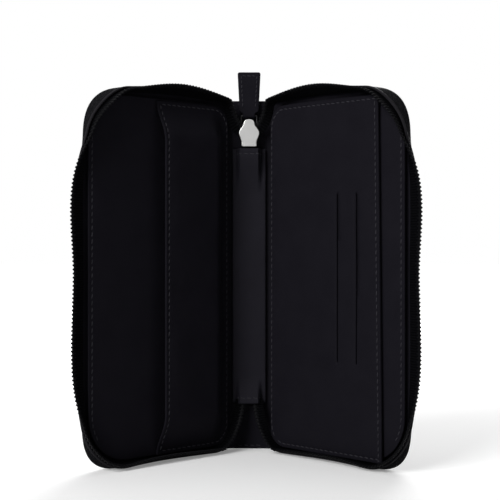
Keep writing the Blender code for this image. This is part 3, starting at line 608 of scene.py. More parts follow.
@dataclass(frozen=True)
class WallPath:
    """The line that the soft wall follows round three sides of a cover, and how far it leans."""

    lean_degrees: tuple[float, ...] = (0, 30, 5, -9, 17, 51, 65, 60, 14, -2, -2)
    shoulder: float = 14 * MM

    @property
    def top_run(self) -> float:
        """Length of the straight stretch along the top."""
        return SIZES.cover_length - SIZES.corner - SIZES.wall_start

    @property
    def corner_run(self) -> float:
        """Length of one rounded corner."""
        return (SIZES.corner - SIZES.zip_inset) * math.pi / 2

    @property
    def side_run(self) -> float:
        """Length of the straight stretch down the outer side."""
        return SIZES.height - 2 * SIZES.corner

    @property
    def length(self) -> float:
        """Length of the whole line."""
        return 2 * (self.top_run + self.corner_run) + self.side_run

    def foot(self, distance: Points) -> tuple[Points, Points]:
        """The wall's foot: straight, quarter circle, straight, quarter circle, straight.

        Args:
            distance: Distances along the line from its top end, in metres.

        Returns:
            Points (u, w, z) and the unit directions out of the cover there.
        """
        radius = SIZES.corner - SIZES.zip_inset
        nearer = np.minimum(distance, self.length - distance)
        lower = distance > self.length / 2
        angle = np.clip((nearer - self.top_run) / radius, 0.0, math.pi / 2)
        u = SIZES.wall_start + np.minimum(nearer, self.top_run) + radius * np.sin(angle)
        drop = SIZES.zip_inset + radius * (1 - np.cos(angle))
        drop = drop + np.maximum(nearer - self.top_run - self.corner_run, 0.0)
        z = np.where(lower, drop, SIZES.height - drop)
        out_z = np.where(lower, -np.cos(angle), np.cos(angle))
        nothing = np.zeros_like(u)
        return np.stack([u, nothing, z], -1), np.stack([np.sin(angle), nothing, out_z], -1)

    def lean(self, distance: Points) -> Points:
        """The wall's lean from square in radians, smooth through its values at named places."""
        corner_end = self.top_run + self.corner_run
        side_end = corner_end + self.side_run
        places = np.array(
            [
                0.0,
                0.5 * self.top_run,
                self.top_run,
                self.top_run + 0.5 * self.corner_run,
                corner_end,
                corner_end + self.shoulder,
                corner_end + 0.5 * self.side_run,
                side_end - self.shoulder,
                side_end + 0.5 * self.corner_run,
                side_end + self.corner_run,
                self.length,
            ]
        )
        return np.radians(smooth_through(places, np.array(self.lean_degrees, float), distance))

    def frame(self, distance: Points) -> tuple[Points, Points, Points]:
        """Foot point, direction up the wall and direction out of its face, all in (u, w, z).

        Args:
            distance: Distances along the line in metres.

        Returns:
            Three arrays of shape (n, 3).
        """
        foot, outwards = self.foot(distance)
        lean = self.lean(distance)[..., None]
        into = np.array([0.0, 1.0, 0.0])
        up = np.sin(lean) * outwards + np.cos(lean) * into
        out = np.cos(lean) * outwards - np.sin(lean) * into
        return foot, up, out


PATH = WallPath()


# ---------------------------------------------------------------- sewn panels


def rounded_outline(corners: Points, radii: tuple[float, ...], steps: int = 12) -> list[Points]:
    """The four sides of a convex quadrilateral with rounded corners.

    Args:
        corners: Four corners, counter-clockwise, the fold side's lower one first, shape (4, 2).
        radii: The rounding of each corner.
        steps: Even number of arc steps at each corner.

    Returns:
        Bottom, outer, top and fold side as lines of points, each from the middle of one corner's arc
        to the middle of the next.
    """
    arcs = []
    for i, radius in enumerate(radii):
        before = unit(corners[i - 1] - corners[i])
        after = unit(corners[(i + 1) % 4] - corners[i])
        half = math.acos(float(before @ after)) / 2
        centre = corners[i] + unit(before + after) * radius / math.sin(half)
        start = corners[i] + before * radius / math.tan(half) - centre
        turn = (math.pi - 2 * half) * np.linspace(0.0, 1.0, steps + 1)
        x = centre[0] + start[0] * np.cos(turn) - start[1] * np.sin(turn)
        y = centre[1] + start[0] * np.sin(turn) + start[1] * np.cos(turn)
        arcs.append(np.stack([x, y], axis=1))
    half_step = steps // 2
    return [
        np.concatenate([arcs[i][half_step:], arcs[(i + 1) % 4][: half_step + 1]]) for i in range(4)
    ]


def resampled(line: Points, shares: Points) -> Points:
    """Points at given shares, from 0 to 1, of a line's length."""
    place = walked(line)
    return np.stack([np.interp(shares * place[-1], place, line[:, k]) for k in (0, 1)], axis=1)


def distance_to(lines: list[Points], points: Points) -> Points:
    """Shortest distance from each point to any of several lines of points.

    Args:
        lines: Lines of shape (n, 2).
        points: Shape (..., 2).

    Returns:
        Distances, shape (...).
    """
    flat = points.reshape(-1, 1, 2)
    best = np.full(flat.shape[0], np.inf)
    for line in lines:
        start = line[:-1]
        span = line[1:] - start
        share = np.sum((flat - start) * span, -1) / np.maximum(np.sum(span * span, -1), 1e-18)
        nearest = start + np.clip(share, 0.0, 1.0)[..., None] * span
        best = np.minimum(best, np.linalg.norm(flat - nearest, axis=-1).min(axis=1))
    return best.reshape(points.shape[:-1])


@dataclass(frozen=True)
class StitchRow:
    """A row of stitches: how long each is, how thick its thread, and how far apart they start."""

    pitch: float = 3.4 * MM
    length: float = 2.3 * MM
    thread: float = 0.26 * MM

    def build(
        self, name: str, line: Points, across: Points, finish: bpy.types.Material
    ) -> bpy.types.Object:
        """Makes the stitches of one row.

        Each stitch is a thread that comes up through the leather, lies along the row and goes down
        again: a tube whose height over the leather follows half a sine wave.

        Args:
            name: Name of the piece.
            line: Points that the row follows, on the leather, shape (n, 3).
            across: The direction out of the leather at each point of the line, shape (n, 3).
            finish: The thread's material.

        Returns:
            One mesh object with every stitch.
        """
        place = walked(line)
        count = max(int((place[-1] - self.length) / self.pitch), 1)
        spare = place[-1] - (count - 1) * self.pitch - self.length
        starts = spare / 2 + self.pitch * np.arange(count)
        shares = np.linspace(0.0, 1.0, 6)
        at = starts[:, None] + shares[None, :] * self.length
        centre = np.stack([np.interp(at, place, line[:, k]) for k in range(3)], axis=-1)
        out = unit(np.stack([np.interp(at, place, across[:, k]) for k in range(3)], axis=-1))
        along = unit(np.gradient(centre, axis=1))
        beside = unit(np.cross(along, out))
        rise = np.sin(math.pi * shares)[None, :, None] * 0.75 * self.thread
        centre = centre + (rise - 0.25 * self.thread) * out
        slant = (shares - 0.5)[None, :, None] * 0.3 * MM
        centre = centre + slant * beside
        thick = self.thread * np.array([0.55, 0.95, 1.0, 1.0, 0.95, 0.55])[None, :, None, None]
        turn = np.linspace(0.0, 2 * math.pi, 6, endpoint=False)
        round_ = np.cos(turn)[:, None] * beside[:, :, None] + 0.8 * np.sin(turn)[:, None] * out[:, :, None]
        rings = centre[:, :, None] + thick * round_
        one = np.array(swept_loop(rings[0]), dtype=object)
        faces = [[v + i * 36 for v in face] for i in range(count) for face in one]
        return make_piece(name, rings.reshape(-1, 3), faces, finish)


STITCHES = StitchRow()


@dataclass
class SewnPanel:
    """A leather panel with turned, rounded edges, pressed in along its seams and slightly uneven."""

    name: str
    side: Side
    corners: Points
    radii: tuple[float, ...]
    floor: float
    thickness: float
    sewn: tuple[bool, bool, bool, bool] = (False, False, False, False)
    inset: float = 2.1 * MM
    fold_inset: float = 0.9 * MM
    edge_round: float = 0.45 * MM
    groove: float = 0.20 * MM
    pillow: float = 0.20 * MM
    wave: float = 0.18 * MM
    phase: float = 0.0
    outline: list[Points] = field(init=False)

    def __post_init__(self) -> None:
        """Works out the outline's four sides."""
        self.outline = rounded_outline(np.array(self.corners, float), self.radii)

    def lift(self, flat: Points) -> Points:
        """How far the panel's underside stands off its floor at points (u, z)."""
        return np.zeros(flat.shape[:-1])

    def seams(self) -> list[Points]:
        """The sewn sides of the outline, apart from the fold side."""
        return [line for line, is_sewn in zip(self.outline[:3], self.sewn) if is_sewn]

    def top(self, flat: Points) -> Points:
        """Height of the panel's face over its underside at points (u, z).

        A quarter ellipse at the edge, a bead between edge and seam, a pressed groove along the seam,
        a low pillow behind it and slow waves over the whole face.
        """
        from_edge = distance_to(self.outline, flat)
        round_share = np.clip(1 - from_edge / self.edge_round, 0.0, 1.0)
        height = self.thickness * (0.35 + 0.65 * np.sqrt(1 - round_share**2))
        inner = smooth_step((from_edge - self.inset) / (6 * MM))
        if self.seams():
            pressed = self.pressed(distance_to(self.seams(), flat) - self.inset)
            if self.sewn[3]:
                from_fold = distance_to(self.outline[3:], flat)
                pressed = np.maximum(pressed, self.pressed(from_fold - self.fold_inset))
            height = height - self.groove * pressed
        height = height + self.pillow * inner
        return height + self.wave * inner * slow_waves(flat[..., 0], flat[..., 1], self.phase)

    @staticmethod
    def pressed(beside: Points) -> Points:
        """Depth of a seam's groove from 0 to 1: a bell curve 1.1 mm wide."""
        return np.exp(-((beside / (0.55 * MM)) ** 2))

    def shares(self, length: float, count: int) -> Points:
        """Places across the panel, close together near both edges."""
        near = np.array([0.0, 0.12, 0.3, 0.5, 1.0, 1.5, 1.8, 2.1, 2.4, 2.8, 3.6, 5.0, 7.0]) * MM / length
        middle = np.linspace(near[-1], 1 - near[-1], count)[1:-1]
        return np.concatenate([near, middle, 1 - near[::-1]])

    def grid(self) -> Points:
        """Points (u, z) that fill the outline: a Coons patch between its four sides."""
        bottom, outer, top, fold = self.outline
        width = walked(bottom)[-1]
        height = walked(outer)[-1]
        s = self.shares(width, 26)
        t = self.shares(height, 60)
        low, high = resampled(bottom, s)[None], resampled(top[::-1], s)[None]
        left, right = resampled(fold[::-1], t)[:, None], resampled(outer, t)[:, None]
        s, t = s[None, :, None], t[:, None, None]
        sides = (1 - t) * low + t * high + (1 - s) * left + s * right
        corner = (1 - t) * ((1 - s) * low[:, :1] + s * low[:, -1:])
        corner = corner + t * ((1 - s) * high[:, :1] + s * high[:, -1:])
        return sides - corner

    def on_face(self, flat: Points) -> tuple[Points, Points]:
        """Points of the panel's face and the directions out of it, in the row frame.

        Args:
            flat: Points (u, z), shape (n, 2).

        Returns:
            Two arrays of shape (n, 3).
        """
        step = 0.3 * MM

        def height(points: Points) -> Points:
            return self.floor + self.lift(points) + self.top(points)

        w = height(flat)
        du = (height(flat + [step, 0.0]) - height(flat - [step, 0.0])) / (2 * step)
        dz = (height(flat + [0.0, step]) - height(flat - [0.0, step])) / (2 * step)
        point = np.stack([flat[:, 0], w, flat[:, 1]], axis=-1)
        out = unit(np.stack([-0.6 * du, np.ones_like(w), -0.6 * dz], axis=-1))
        return placed(self.side, point), turned(self.side, out)

    def build(self, finish: bpy.types.Material) -> bpy.types.Object:
        """Makes the panel as a closed shell: its face, its underside and the rim between them."""
        flat = self.grid()
        base = self.floor + self.lift(flat)
        face = np.stack([flat[..., 0], base + self.top(flat), flat[..., 1]], axis=-1)
        under = np.stack([flat[..., 0], base, flat[..., 1]], axis=-1)
        rows, columns = flat.shape[:2]
        index = np.arange(rows * columns).reshape(rows, columns)
        faces = strip_faces(rows, columns, False, False)
        count = rows * columns
        faces += [[v + count for v in quad[::-1]] for quad in faces]
        rim = np.concatenate([index[0, :-1], index[:-1, -1], index[-1, :0:-1], index[:0:-1, 0]])
        after = np.roll(rim, -1)
        faces += np.stack([rim, rim + count, after + count, after], axis=1).tolist()
        points = placed(self.side, np.concatenate([face.reshape(-1, 3), under.reshape(-1, 3)]))
        along = np.concatenate([flat.reshape(-1, 2), flat.reshape(-1, 2)])
        return make_piece(self.name, points, faces, finish, along)

    def stitch_line(self, number: int) -> Points:
        """One side of the outline moved in by the seam's inset, as points (u, z).

        The fold side's inset is smaller, and eases to the others' over 12 mm at both ends.
        """
        share = np.linspace(0.0, 1.0, 160)
        line = resampled(self.outline[number], share)
        place = walked(line)
        from_end = np.minimum(place, place[-1] - place)
        eased = smooth_step(from_end / (12 * MM)) if number == 3 else np.zeros(len(place))
        inset = self.inset + (self.fold_inset - self.inset) * eased
        along = unit(np.gradient(line, axis=0))
        inwards = np.stack([-along[:, 1], along[:, 0]], axis=1)
        return line + inset[:, None] * inwards

    def stitch(self, sides: tuple[int, ...], finish: bpy.types.Material) -> list[bpy.types.Object]:
        """Makes the stitch rows along some of the panel's sides.

        Args:
            sides: Numbers of the outline's sides that follow each other: 0 bottom, 1 outer, 2 top,
                3 fold side.
            finish: The thread's material.

        Returns:
            One piece for each run of sides.
        """
        flat = np.concatenate([self.stitch_line(number) for number in sides])
        line, out = self.on_face(flat)
        keep = np.concatenate([[True], np.linalg.norm(np.diff(line, axis=0), axis=1) > 1e-5])
        piece = STITCHES.build(f"{self.name}_stitches", line[keep], out[keep], finish)
        return [piece]


@dataclass
class PhonePocketPanel(SewnPanel):
    """The left pocket: sewn at the fold side and both ends, bulged in the middle, open at its edge."""

    bulge_start: float = 6 * MM
    bulge_run: float = 12 * MM
    end_run: float = 21 * MM
    depth: float = 7.5 * MM

    def lift(self, flat: Points) -> Points:
        """Eased rise from the fold seam and from both ends."""
        u, z = flat[..., 0], flat[..., 1]
        low, high = self.corners[0][1], self.corners[2][1]
        from_end = np.minimum(z - low, high - z)
        across = smooth_step((u - self.bulge_start) / self.bulge_run)
        return self.depth * across * smooth_step(from_end / self.end_run)


@dataclass
class CardPanel(SewnPanel):
    """The right pocket: two upright slits for cards, whose pockets press through from below."""

    slits: tuple[float, ...] = (54.1 * MM, 67.0 * MM)
    slit_width: float = 0.9 * MM
    slit_low: float = 52.2 * MM
    slit_high: float = 139.4 * MM
    pocket_back: float = 7.9 * MM

    def top(self, flat: Points) -> Points:
        """The sewn face, drawn down at the slits' lips, with the pockets' outline pressed through."""
        height = super().top(flat)
        u, z = flat[..., 0], flat[..., 1]
        beyond = np.maximum(np.maximum(self.slit_low - z, z - self.slit_high), 0.0)
        for place in self.slits:
            beside = np.abs(u - place + self.slit_width / 2)
            reach = np.hypot(beside, beyond) - self.slit_width / 2
            height = height - 0.28 * MM * np.exp(-np.maximum(reach, 0.0) / (0.7 * MM))
        inside = smooth_step((u - self.pocket_back) / (1.2 * MM))
        inside = inside * smooth_step((z - self.slit_low + 3 * MM) / (1.2 * MM))
        inside = inside * smooth_step((self.slit_high + 3 * MM - z) / (1.2 * MM))
        return height + 0.10 * MM * inside

    def cut_slits(self, panel: bpy.types.Object) -> None:
        """Cuts the slits through the finished panel, with rounded ends."""
        for number, place in enumerate(self.slits):
            turn = np.linspace(0.0, 2 * math.pi, 16, endpoint=False)
            half = self.slit_width / 2
            middle = (self.slit_low + self.slit_high) / 2
            reach = (self.slit_high - self.slit_low) / 2 - half
            u = place - half + half * np.cos(turn)
            z = middle + half * np.sin(turn) + np.where(np.sin(turn) >= 0, reach, -reach)
            levels = [self.floor - 1 * MM, self.floor + 3 * MM]
            rings = np.stack([np.stack([u, np.full(16, w), z], axis=1) for w in levels])
            rings = placed(self.side, rings)
            cutter = make_piece(f"slit_{number}", rings, swept_loop(rings), panel.data.materials[0])
            cut = panel.modifiers.new("slit", "BOOLEAN")
            cut.operation = "DIFFERENCE"
            cut.object = cutter
            apply_modifiers(panel)
            bpy.data.objects.remove(cutter, do_unlink=True)


def apply_modifiers(piece: bpy.types.Object) -> None:
    """Replaces a piece's mesh by what its modifiers make of it."""
    bpy.context.view_layer.update()
    evaluated = piece.evaluated_get(bpy.context.evaluated_depsgraph_get())
    mesh = bpy.data.meshes.new_from_object(evaluated)
    piece.modifiers.clear()
    piece.data = mesh


# ---------------------------------------------------------------- zip


@dataclass(frozen=True)
class ZipLine:
    """The middle of a half chain from the slider round a cover to the spine's foot, with its frame."""

    middle: Points
    across: Points
    through: Points
    width: Points


@dataclass(frozen=True)
class ZipSizes:
    """Sizes of the zip's chain, tape and slider."""

    pitch: float = 2.0 * MM
    wire: float = 0.42 * MM
    coil_half_width: float = 1.35 * MM
    coil_half_height: float = 0.48 * MM
    tape: float = 0.5 * MM
    tape_foot: float = 2.6 * MM
    top_tape: float = 5.0 * MM
    bottom_tape: float = 4.4 * MM
    strip_bottom: float = 26 * MM
    slider_bottom: float = 167 * MM
    chain_join: float = 8.8 * MM
    chain_depth: float = 6.25 * MM
    lower_start: float = 13 * MM
    lower_place: float = 2.8 * MM
    lower_depth: float = 3.1 * MM
    hidden: float = 8 * MM


ZIP = ZipSizes()


def cubic(points: tuple[Points, ...], t: Points) -> Points:
    """Points of a cubic Bezier curve with four control points."""
    a, b, c, d = points
    s = t[:, None]
    return (1 - s) ** 3 * a + 3 * s * (1 - s) ** 2 * b + 3 * s**2 * (1 - s) * c + s**3 * d


def wire_rings(centre: Points, facing: Points) -> Points:
    """Six-sided rings of the coil's wire.

    Args:
        centre: The wire's middle, shape (n, 3).
        facing: A direction that the wire never runs along, one for all points or one for each.

    Returns:
        Points of shape (n, 6, 3).
    """
    along = unit(np.gradient(centre, axis=0))
    beside = unit(np.cross(along, facing))
    other = np.cross(beside, along)
    turn = np.linspace(0.0, 2 * math.pi, 6, endpoint=False)
    ring = np.cos(turn)[:, None] * beside[:, None] + np.sin(turn)[:, None] * other[:, None]
    return centre[:, None] + ZIP.wire * ring


@dataclass
class HalfZip:
    """One half of the zip: a spiral coil sewn along the edge of its ribbed tape."""

    side: Side
    finishes: Finishes

    def free_run(self, top: bool) -> ZipLine:
        """The stretch that crosses freely from the cover's corner to the spine.

        Args:
            top: The run to the slider, or else the run to under the strip's lower end.

        Returns:
            The run from the cover to the spine.
        """
        distance = self.wall_ends()[0 if top else 1]
        inwards = 2 * MM if top else -2 * MM
        foot, up, out = PATH.frame(np.array([distance, distance + inwards]))
        corner = placed(self.side, foot[0] + SIZES.wall_height * up[0])
        heading = unit(turned(self.side, foot[0] - foot[1]))
        sign = self.side.value
        inner = SIZES.inner_face
        if top:
            place = SIZES.tooth_half + SIZES.gap / 2
            end = np.array([sign * place, inner - ZIP.chain_depth, ZIP.slider_bottom + ZIP.chain_join])
            reach, tray_reach = np.array([sign * 8.6, 1.0, 6.2]) * MM, 4 * MM
        else:
            end = np.array([sign * ZIP.lower_place, inner - ZIP.lower_depth, ZIP.strip_bottom + ZIP.hidden])
            reach, tray_reach = np.array([0.0, -4.0, -20.0]) * MM, 4 * MM
        t = np.linspace(0.0, 1.0, 60)
        middle = cubic((corner, corner + tray_reach * heading, end + reach, end), t)
        along = unit(np.gradient(middle, axis=0))
        share = smooth_step(t)[:, None]
        across = (1 - share) * turned(self.side, up[0]) + share * np.array([-sign, 0.0, 0.0])
        across = unit(across - np.sum(across * along, axis=1)[:, None] * along)
        through = np.cross(along, across)
        if through[0] @ turned(self.side, out[0]) < 0:
            through = -through
        narrow = ZIP.top_tape if top else ZIP.bottom_tape
        full = SIZES.wall_height - ZIP.tape_foot
        width = full + (narrow - full) * smooth_step(2.5 * t)
        return ZipLine(middle, across, through, width)

    @staticmethod
    def wall_ends() -> tuple[float, float]:
        """Distances along the wall's foot between which the chain stays on the wall."""
        return (
            SIZES.chain_start - SIZES.wall_start,
            PATH.length - (ZIP.lower_start - SIZES.wall_start),
        )

    def line(self) -> ZipLine:
        """The whole half chain, from the slider to under the strip."""
        distance = np.linspace(*self.wall_ends(), 420)
        foot, up, out = PATH.frame(distance)
        wall = placed(self.side, foot + SIZES.wall_height * up)
        upper, lower = self.free_run(True), self.free_run(False)
        full = np.full(len(distance), SIZES.wall_height - ZIP.tape_foot)
        return ZipLine(
            np.concatenate([upper.middle[:0:-1], wall, lower.middle[1:]]),
            unit(np.concatenate([upper.across[:0:-1], turned(self.side, up), lower.across[1:]])),
            unit(np.concatenate([upper.through[:0:-1], turned(self.side, out), lower.through[1:]])),
            np.concatenate([upper.width[:0:-1], full, lower.width[1:]]),
        )

    def at(self, line: ZipLine, places: Points) -> ZipLine:
        """A zip line read at given distances along it."""
        along = walked(line.middle)

        def read(values: Points) -> Points:
            return np.stack([np.interp(places, along, values[:, k]) for k in range(3)], axis=1)

        width = np.interp(places, along, line.width)
        return ZipLine(read(line.middle), unit(read(line.across)), unit(read(line.through)), width)

    def coil(self, line: ZipLine) -> bpy.types.Object:
        """The spiral: a wire whose middle goes round a flat ellipse once for every tooth."""
        samples = 14
        length = walked(line.middle)[-1]
        turns = int(length / ZIP.pitch)
        angle = np.linspace(0.0, 2 * math.pi * turns, turns * samples + 1)
        spot = self.at(line, angle / (2 * math.pi) * length / turns)
        sideways = np.cos(angle)[:, None] * ZIP.coil_half_width
        upwards = np.sin(angle)[:, None] * ZIP.coil_half_height
        centre = spot.middle + sideways * spot.across + upwards * spot.through
        rings = wire_rings(centre, spot.through + 0.01 * spot.across)
        return make_piece(f"{self.side.label}_zip_coil", rings, swept_loop(rings), self.finishes.coil)

    def core(self, line: ZipLine) -> bpy.types.Object:
        """The cord inside the coil, and the sewing that holds the coil to its tape."""
        length = walked(line.middle)[-1]
        spot = self.at(line, np.linspace(0.0, length, 520))
        turn = np.linspace(0.0, 2 * math.pi, 8, endpoint=False)
        ring = (
            np.cos(turn)[:, None] * 0.95 * MM * spot.across[:, None]
            + np.sin(turn)[:, None] * 0.42 * MM * spot.through[:, None]
        )
        rings = spot.middle[:, None] + ring
        return make_piece(f"{self.side.label}_coil_cord", rings, swept_loop(rings), self.finishes.coil)

    def tape(self, line: ZipLine) -> bpy.types.Object:
        """The ribbed tape: a thin rounded band from the chain's middle to its foot."""
        length = walked(line.middle)[-1]
        place = np.linspace(0.0, length * 0.985, 560)
        spot = self.at(line, place)
        shares = np.concatenate([np.linspace(0.0, 1.0, 7), np.linspace(1.0, 0.0, 7)])
        face = np.concatenate([np.ones(7), -np.ones(7)])
        half = ZIP.tape / 2 * face * np.where((shares == 0) | (shares == 1), 0.5, 1.0)
        down = shares[None, :, None] * spot.width[:, None, None]
        rings = spot.middle[:, None] - down * spot.across[:, None] + half[:, None] * spot.through[:, None]
        along = np.stack(np.broadcast_arrays(place[:, None], down[..., 0]), axis=-1)
        name = f"{self.side.label}_ribbed_tape"
        return make_piece(name, rings, swept_loop(rings), self.finishes.tape, along)

    def build(self) -> None:
        """Makes the half zip, and hides the imported zip nodes that it replaces."""
        line = self.line()
        label = self.side.label
        groups = (
            (self.coil(line), "zip_teeth", [f"{label}_{k}zip_teeth" for k in ("", "top_", "bottom_")]),
            (self.core(line), "zip_teeth", []),
            (self.tape(line), "zip_tape", [f"{label}_{k}zip_tape" for k in ("", "top_", "bottom_")]),
        )
        for piece, slot, nodes in groups:
            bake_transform(piece)
            if nodes:
                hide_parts(*nodes)
            LOG.info("%s bends between the spine and %s", piece.name, self.side.body)


@dataclass
class JoinedZip:
    """The zip's closed end: two meshed coils on one tape, from the slider to under the strip."""

    finishes: Finishes
    bottom: float = 161 * MM
    top: float = 174 * MM
    rise: float = 15 * MM
    low_depth: float = 3.25 * MM
    place: float = 1.15 * MM
    half_width: float = 1.4 * MM
    tape_half: float = 4.0 * MM

    def depth(self, z: Points) -> Points:
        """Depth of the chain's middle in front of the spine: level at the slider, lower below it."""
        share = smooth_step((z - ZIP.slider_bottom + 1 * MM + self.rise) / self.rise)
        return self.low_depth + (ZIP.chain_depth - self.low_depth) * share

    def coil(self, side: Side) -> bpy.types.Object:
        """One half's spiral, half a pitch off the other's, so that the two mesh."""
        turns = int((self.top - self.bottom) / ZIP.pitch)
        angle = np.linspace(0.0, 2 * math.pi * turns, turns * 14 + 1)
        z = np.linspace(self.bottom, self.top, len(angle))
        angle = angle * side.value + (0.0 if side is Side.LEFT else math.pi)
        x = side.value * self.place + self.half_width * np.cos(angle)
        y = SIZES.inner_face - self.depth(z) - ZIP.coil_half_height * np.sin(angle)
        rings = wire_rings(np.stack([x, y, z], axis=1), np.array([0.01, -1.0, 0.0]))
        return make_piece(f"joined_{side.label}_coil", rings, swept_loop(rings), self.finishes.coil)

    def tape(self) -> bpy.types.Object:
        """Both tapes behind the coils, as one thin ribbed band."""
        z = np.linspace(self.bottom, self.top, 14)
        x = self.tape_half * np.concatenate([np.linspace(-1.0, 1.0, 9), np.linspace(1.0, -1.0, 9)])
        half = ZIP.tape / 2 * np.concatenate([np.ones(9), -np.ones(9)])
        middle = self.depth(z) - ZIP.coil_half_height - ZIP.wire - ZIP.tape / 2
        y = SIZES.inner_face - middle[:, None] - half[None, :]
        rings = np.stack(np.broadcast_arrays(x[None, :], y, z[:, None]), axis=-1)
        along = np.stack(np.broadcast_arrays(z[:, None], x[None, :]), axis=-1)
        return make_piece("joined_ribbed_tape", rings, swept_loop(rings), self.finishes.tape, along)

    def build(self) -> None:
        """Makes the closed end of the zip, which the spine carries."""
        use(self.coil(Side.LEFT), "spine", "zip_teeth", "joined_zip_teeth")
        use(self.coil(Side.RIGHT), "spine", "zip_teeth")
        use(self.tape(), "spine", "zip_tape", "joined_zip_tape")


# ---------------------------------------------------------------- covers


@dataclass
class Cover:
    """One cover: the outer leather pan, its layers and what is sewn on them."""

    finishes: Finishes
    side: Side = Side.LEFT
    bend: float = 2.2 * MM
    wall: float = 7.2 * MM
    lip: float = 3.0 * MM
    lip_rise: float = 12 * MM
    upper_belly: float = 1.0 * MM
    lower_belly: float = 2.8 * MM
    slip_edge: float = 95.2 * MM
    slip_corner: float = 24 * MM
    slip_seam_low: float = 13 * MM
    slip_seam_high: float = 170 * MM

    def stations(self) -> Points:
        """Distances along the wall's foot, about 1.6 mm apart."""
        return np.linspace(0.0, PATH.length, 220)

    def outer_section(self, distance: Points) -> tuple[Points, Points]:
        """The wall's outer and inner faces at each station, from the flat to the rim.

        The leather bellies out at the corners, most at the lower ones. The section is flat, then a
        quarter bend, then straight along the leaning wall, and ends in a rim as round as the leather is
        thick, with a groove below the turned edge.

        Args:
            distance: Distances along the wall's foot.

        Returns:
            The leather's mid surface, shape (stations, points, 3), and how far each point is from
            the rim along the section.
        """
        foot, up, out = PATH.frame(distance)
        _, outwards = PATH.foot(distance)
        offset = SIZES.tape / 2 + SIZES.wall_gap + SIZES.leather / 2
        climb = ((-SIZES.leather / 2 - offset * out[:, 1]) / up[:, 1])[:, None]
        diagonal = (2 * outwards[:, 0] * outwards[:, 2]) ** 2
        belly = np.where(outwards[:, 2] < 0, self.lower_belly, self.upper_belly) * diagonal
        corner = foot + offset * out + climb * up + belly[:, None] * outwards
        start = corner - self.bend * outwards
        stop = corner + self.bend * up
        from_end = np.minimum(distance, PATH.length - distance)
        rise = smooth_step(from_end / self.lip_rise)[:, None]
        rim = foot + offset * out + (self.lip + (self.wall - self.lip) * rise) * up
        line = [(1 - t) ** 2 * start + 2 * t * (1 - t) * corner + t**2 * stop for t in np.linspace(0, 1, 9)]
        length = np.linalg.norm(rim - stop, axis=1, keepdims=True)
        below = np.array([2.6, 2.0, 1.75, 1.5, 1.25, 0.65, 0.3, 0.1, 0.0]) * MM
        share = np.minimum(1.0, 0.95 * length / below[0])
        line += [rim - depth * share * up for depth in below]
        middle = np.stack(line, axis=1)
        from_rim = np.concatenate([np.full(9, 1.0), below])
        return middle, from_rim

    def outer_leather(self) -> bpy.types.Object:
        """The outer leather pan as one closed shell, with its edge turned over the wall's rim."""
        distance = self.stations()
        middle, from_rim = self.outer_section(distance)
        along = unit(np.gradient(middle, axis=0))
        across = unit(np.gradient(middle, axis=1))
        normal = unit(np.cross(along, across))
        _, _, out = PATH.frame(distance)
        normal = normal * np.sign(np.sum(normal * out[:, None], axis=-1).mean())
        half = SIZES.leather / 2
        groove = 0.28 * MM * np.exp(-(((from_rim - 1.75 * MM) / (0.22 * MM)) ** 2))
        rim_round = np.sqrt(np.clip(1 - np.clip(1 - from_rim / half, 0, 1) ** 2, 0.0, 1.0))
        thick = half * np.where(from_rim < half, 0.25 + 0.75 * rim_round, 1.0)
        outer = middle + (thick - groove)[:, None] * normal
        inner = middle - thick[:, None] * normal
        outer[:, 0], inner[:, 0] = middle[:, 0], middle[:, 0]
        outer[:, 0, 1], inner[:, 0, 1] = -SIZES.leather, 0.0
        rings = np.concatenate([inner, outer[:, ::-1]], axis=1)
        rows, columns = rings.shape[:2]
        index = np.arange(rows * columns).reshape(rows, columns)
        faces = strip_faces(rows, columns, False, False)
        faces.append(index[:, 0].tolist())
        faces.append(index[:, -1].tolist())
        faces.append(index[0].tolist())
        faces.append(index[-1].tolist())
        faces.append([int(index[0, 0]), int(index[0, -1]), int(index[-1, -1]), int(index[-1, 0])])
        piece = make_piece(
            f"{self.side.label}_outer_leather",
            placed(self.side, rings).reshape(-1, 3),
            faces,
            self.finishes.grained,
        )
        piece.data.materials.append(self.finishes.edge)
        piece.data.materials.append(self.finishes.smooth)
        self.dress_rim(piece, columns, rows)
        return use(piece, self.side.body, "grained_leather", f"{self.side.label}_cover_leather")

    def dress_rim(self, piece: bpy.types.Object, columns: int, rows: int) -> None:
        """Gives the turned edge its burnished finish and the inner face its smooth one."""
        quads = (rows - 1) * (columns - 1)
        column = np.arange(quads) % (columns - 1)
        half = columns // 2
        chosen = np.zeros(len(piece.data.polygons), dtype=np.int32)
        chosen[:quads] = np.where(column < half - 1, 2, 0)
        chosen[:quads] = np.where(np.abs(column - half + 1) <= 6, 1, chosen[:quads])
        chosen[quads] = 2
        piece.data.polygons.foreach_set("material_index", chosen)

    def inset_corners(self, margin: float, edge: float) -> Points:
        """The cover's outline drawn in by a margin, as four corners (u, z)."""
        low, high = margin, SIZES.height - margin
        start = SIZES.layer_start
        return np.array([(start, low), (edge, low), (edge, high), (start, high)])

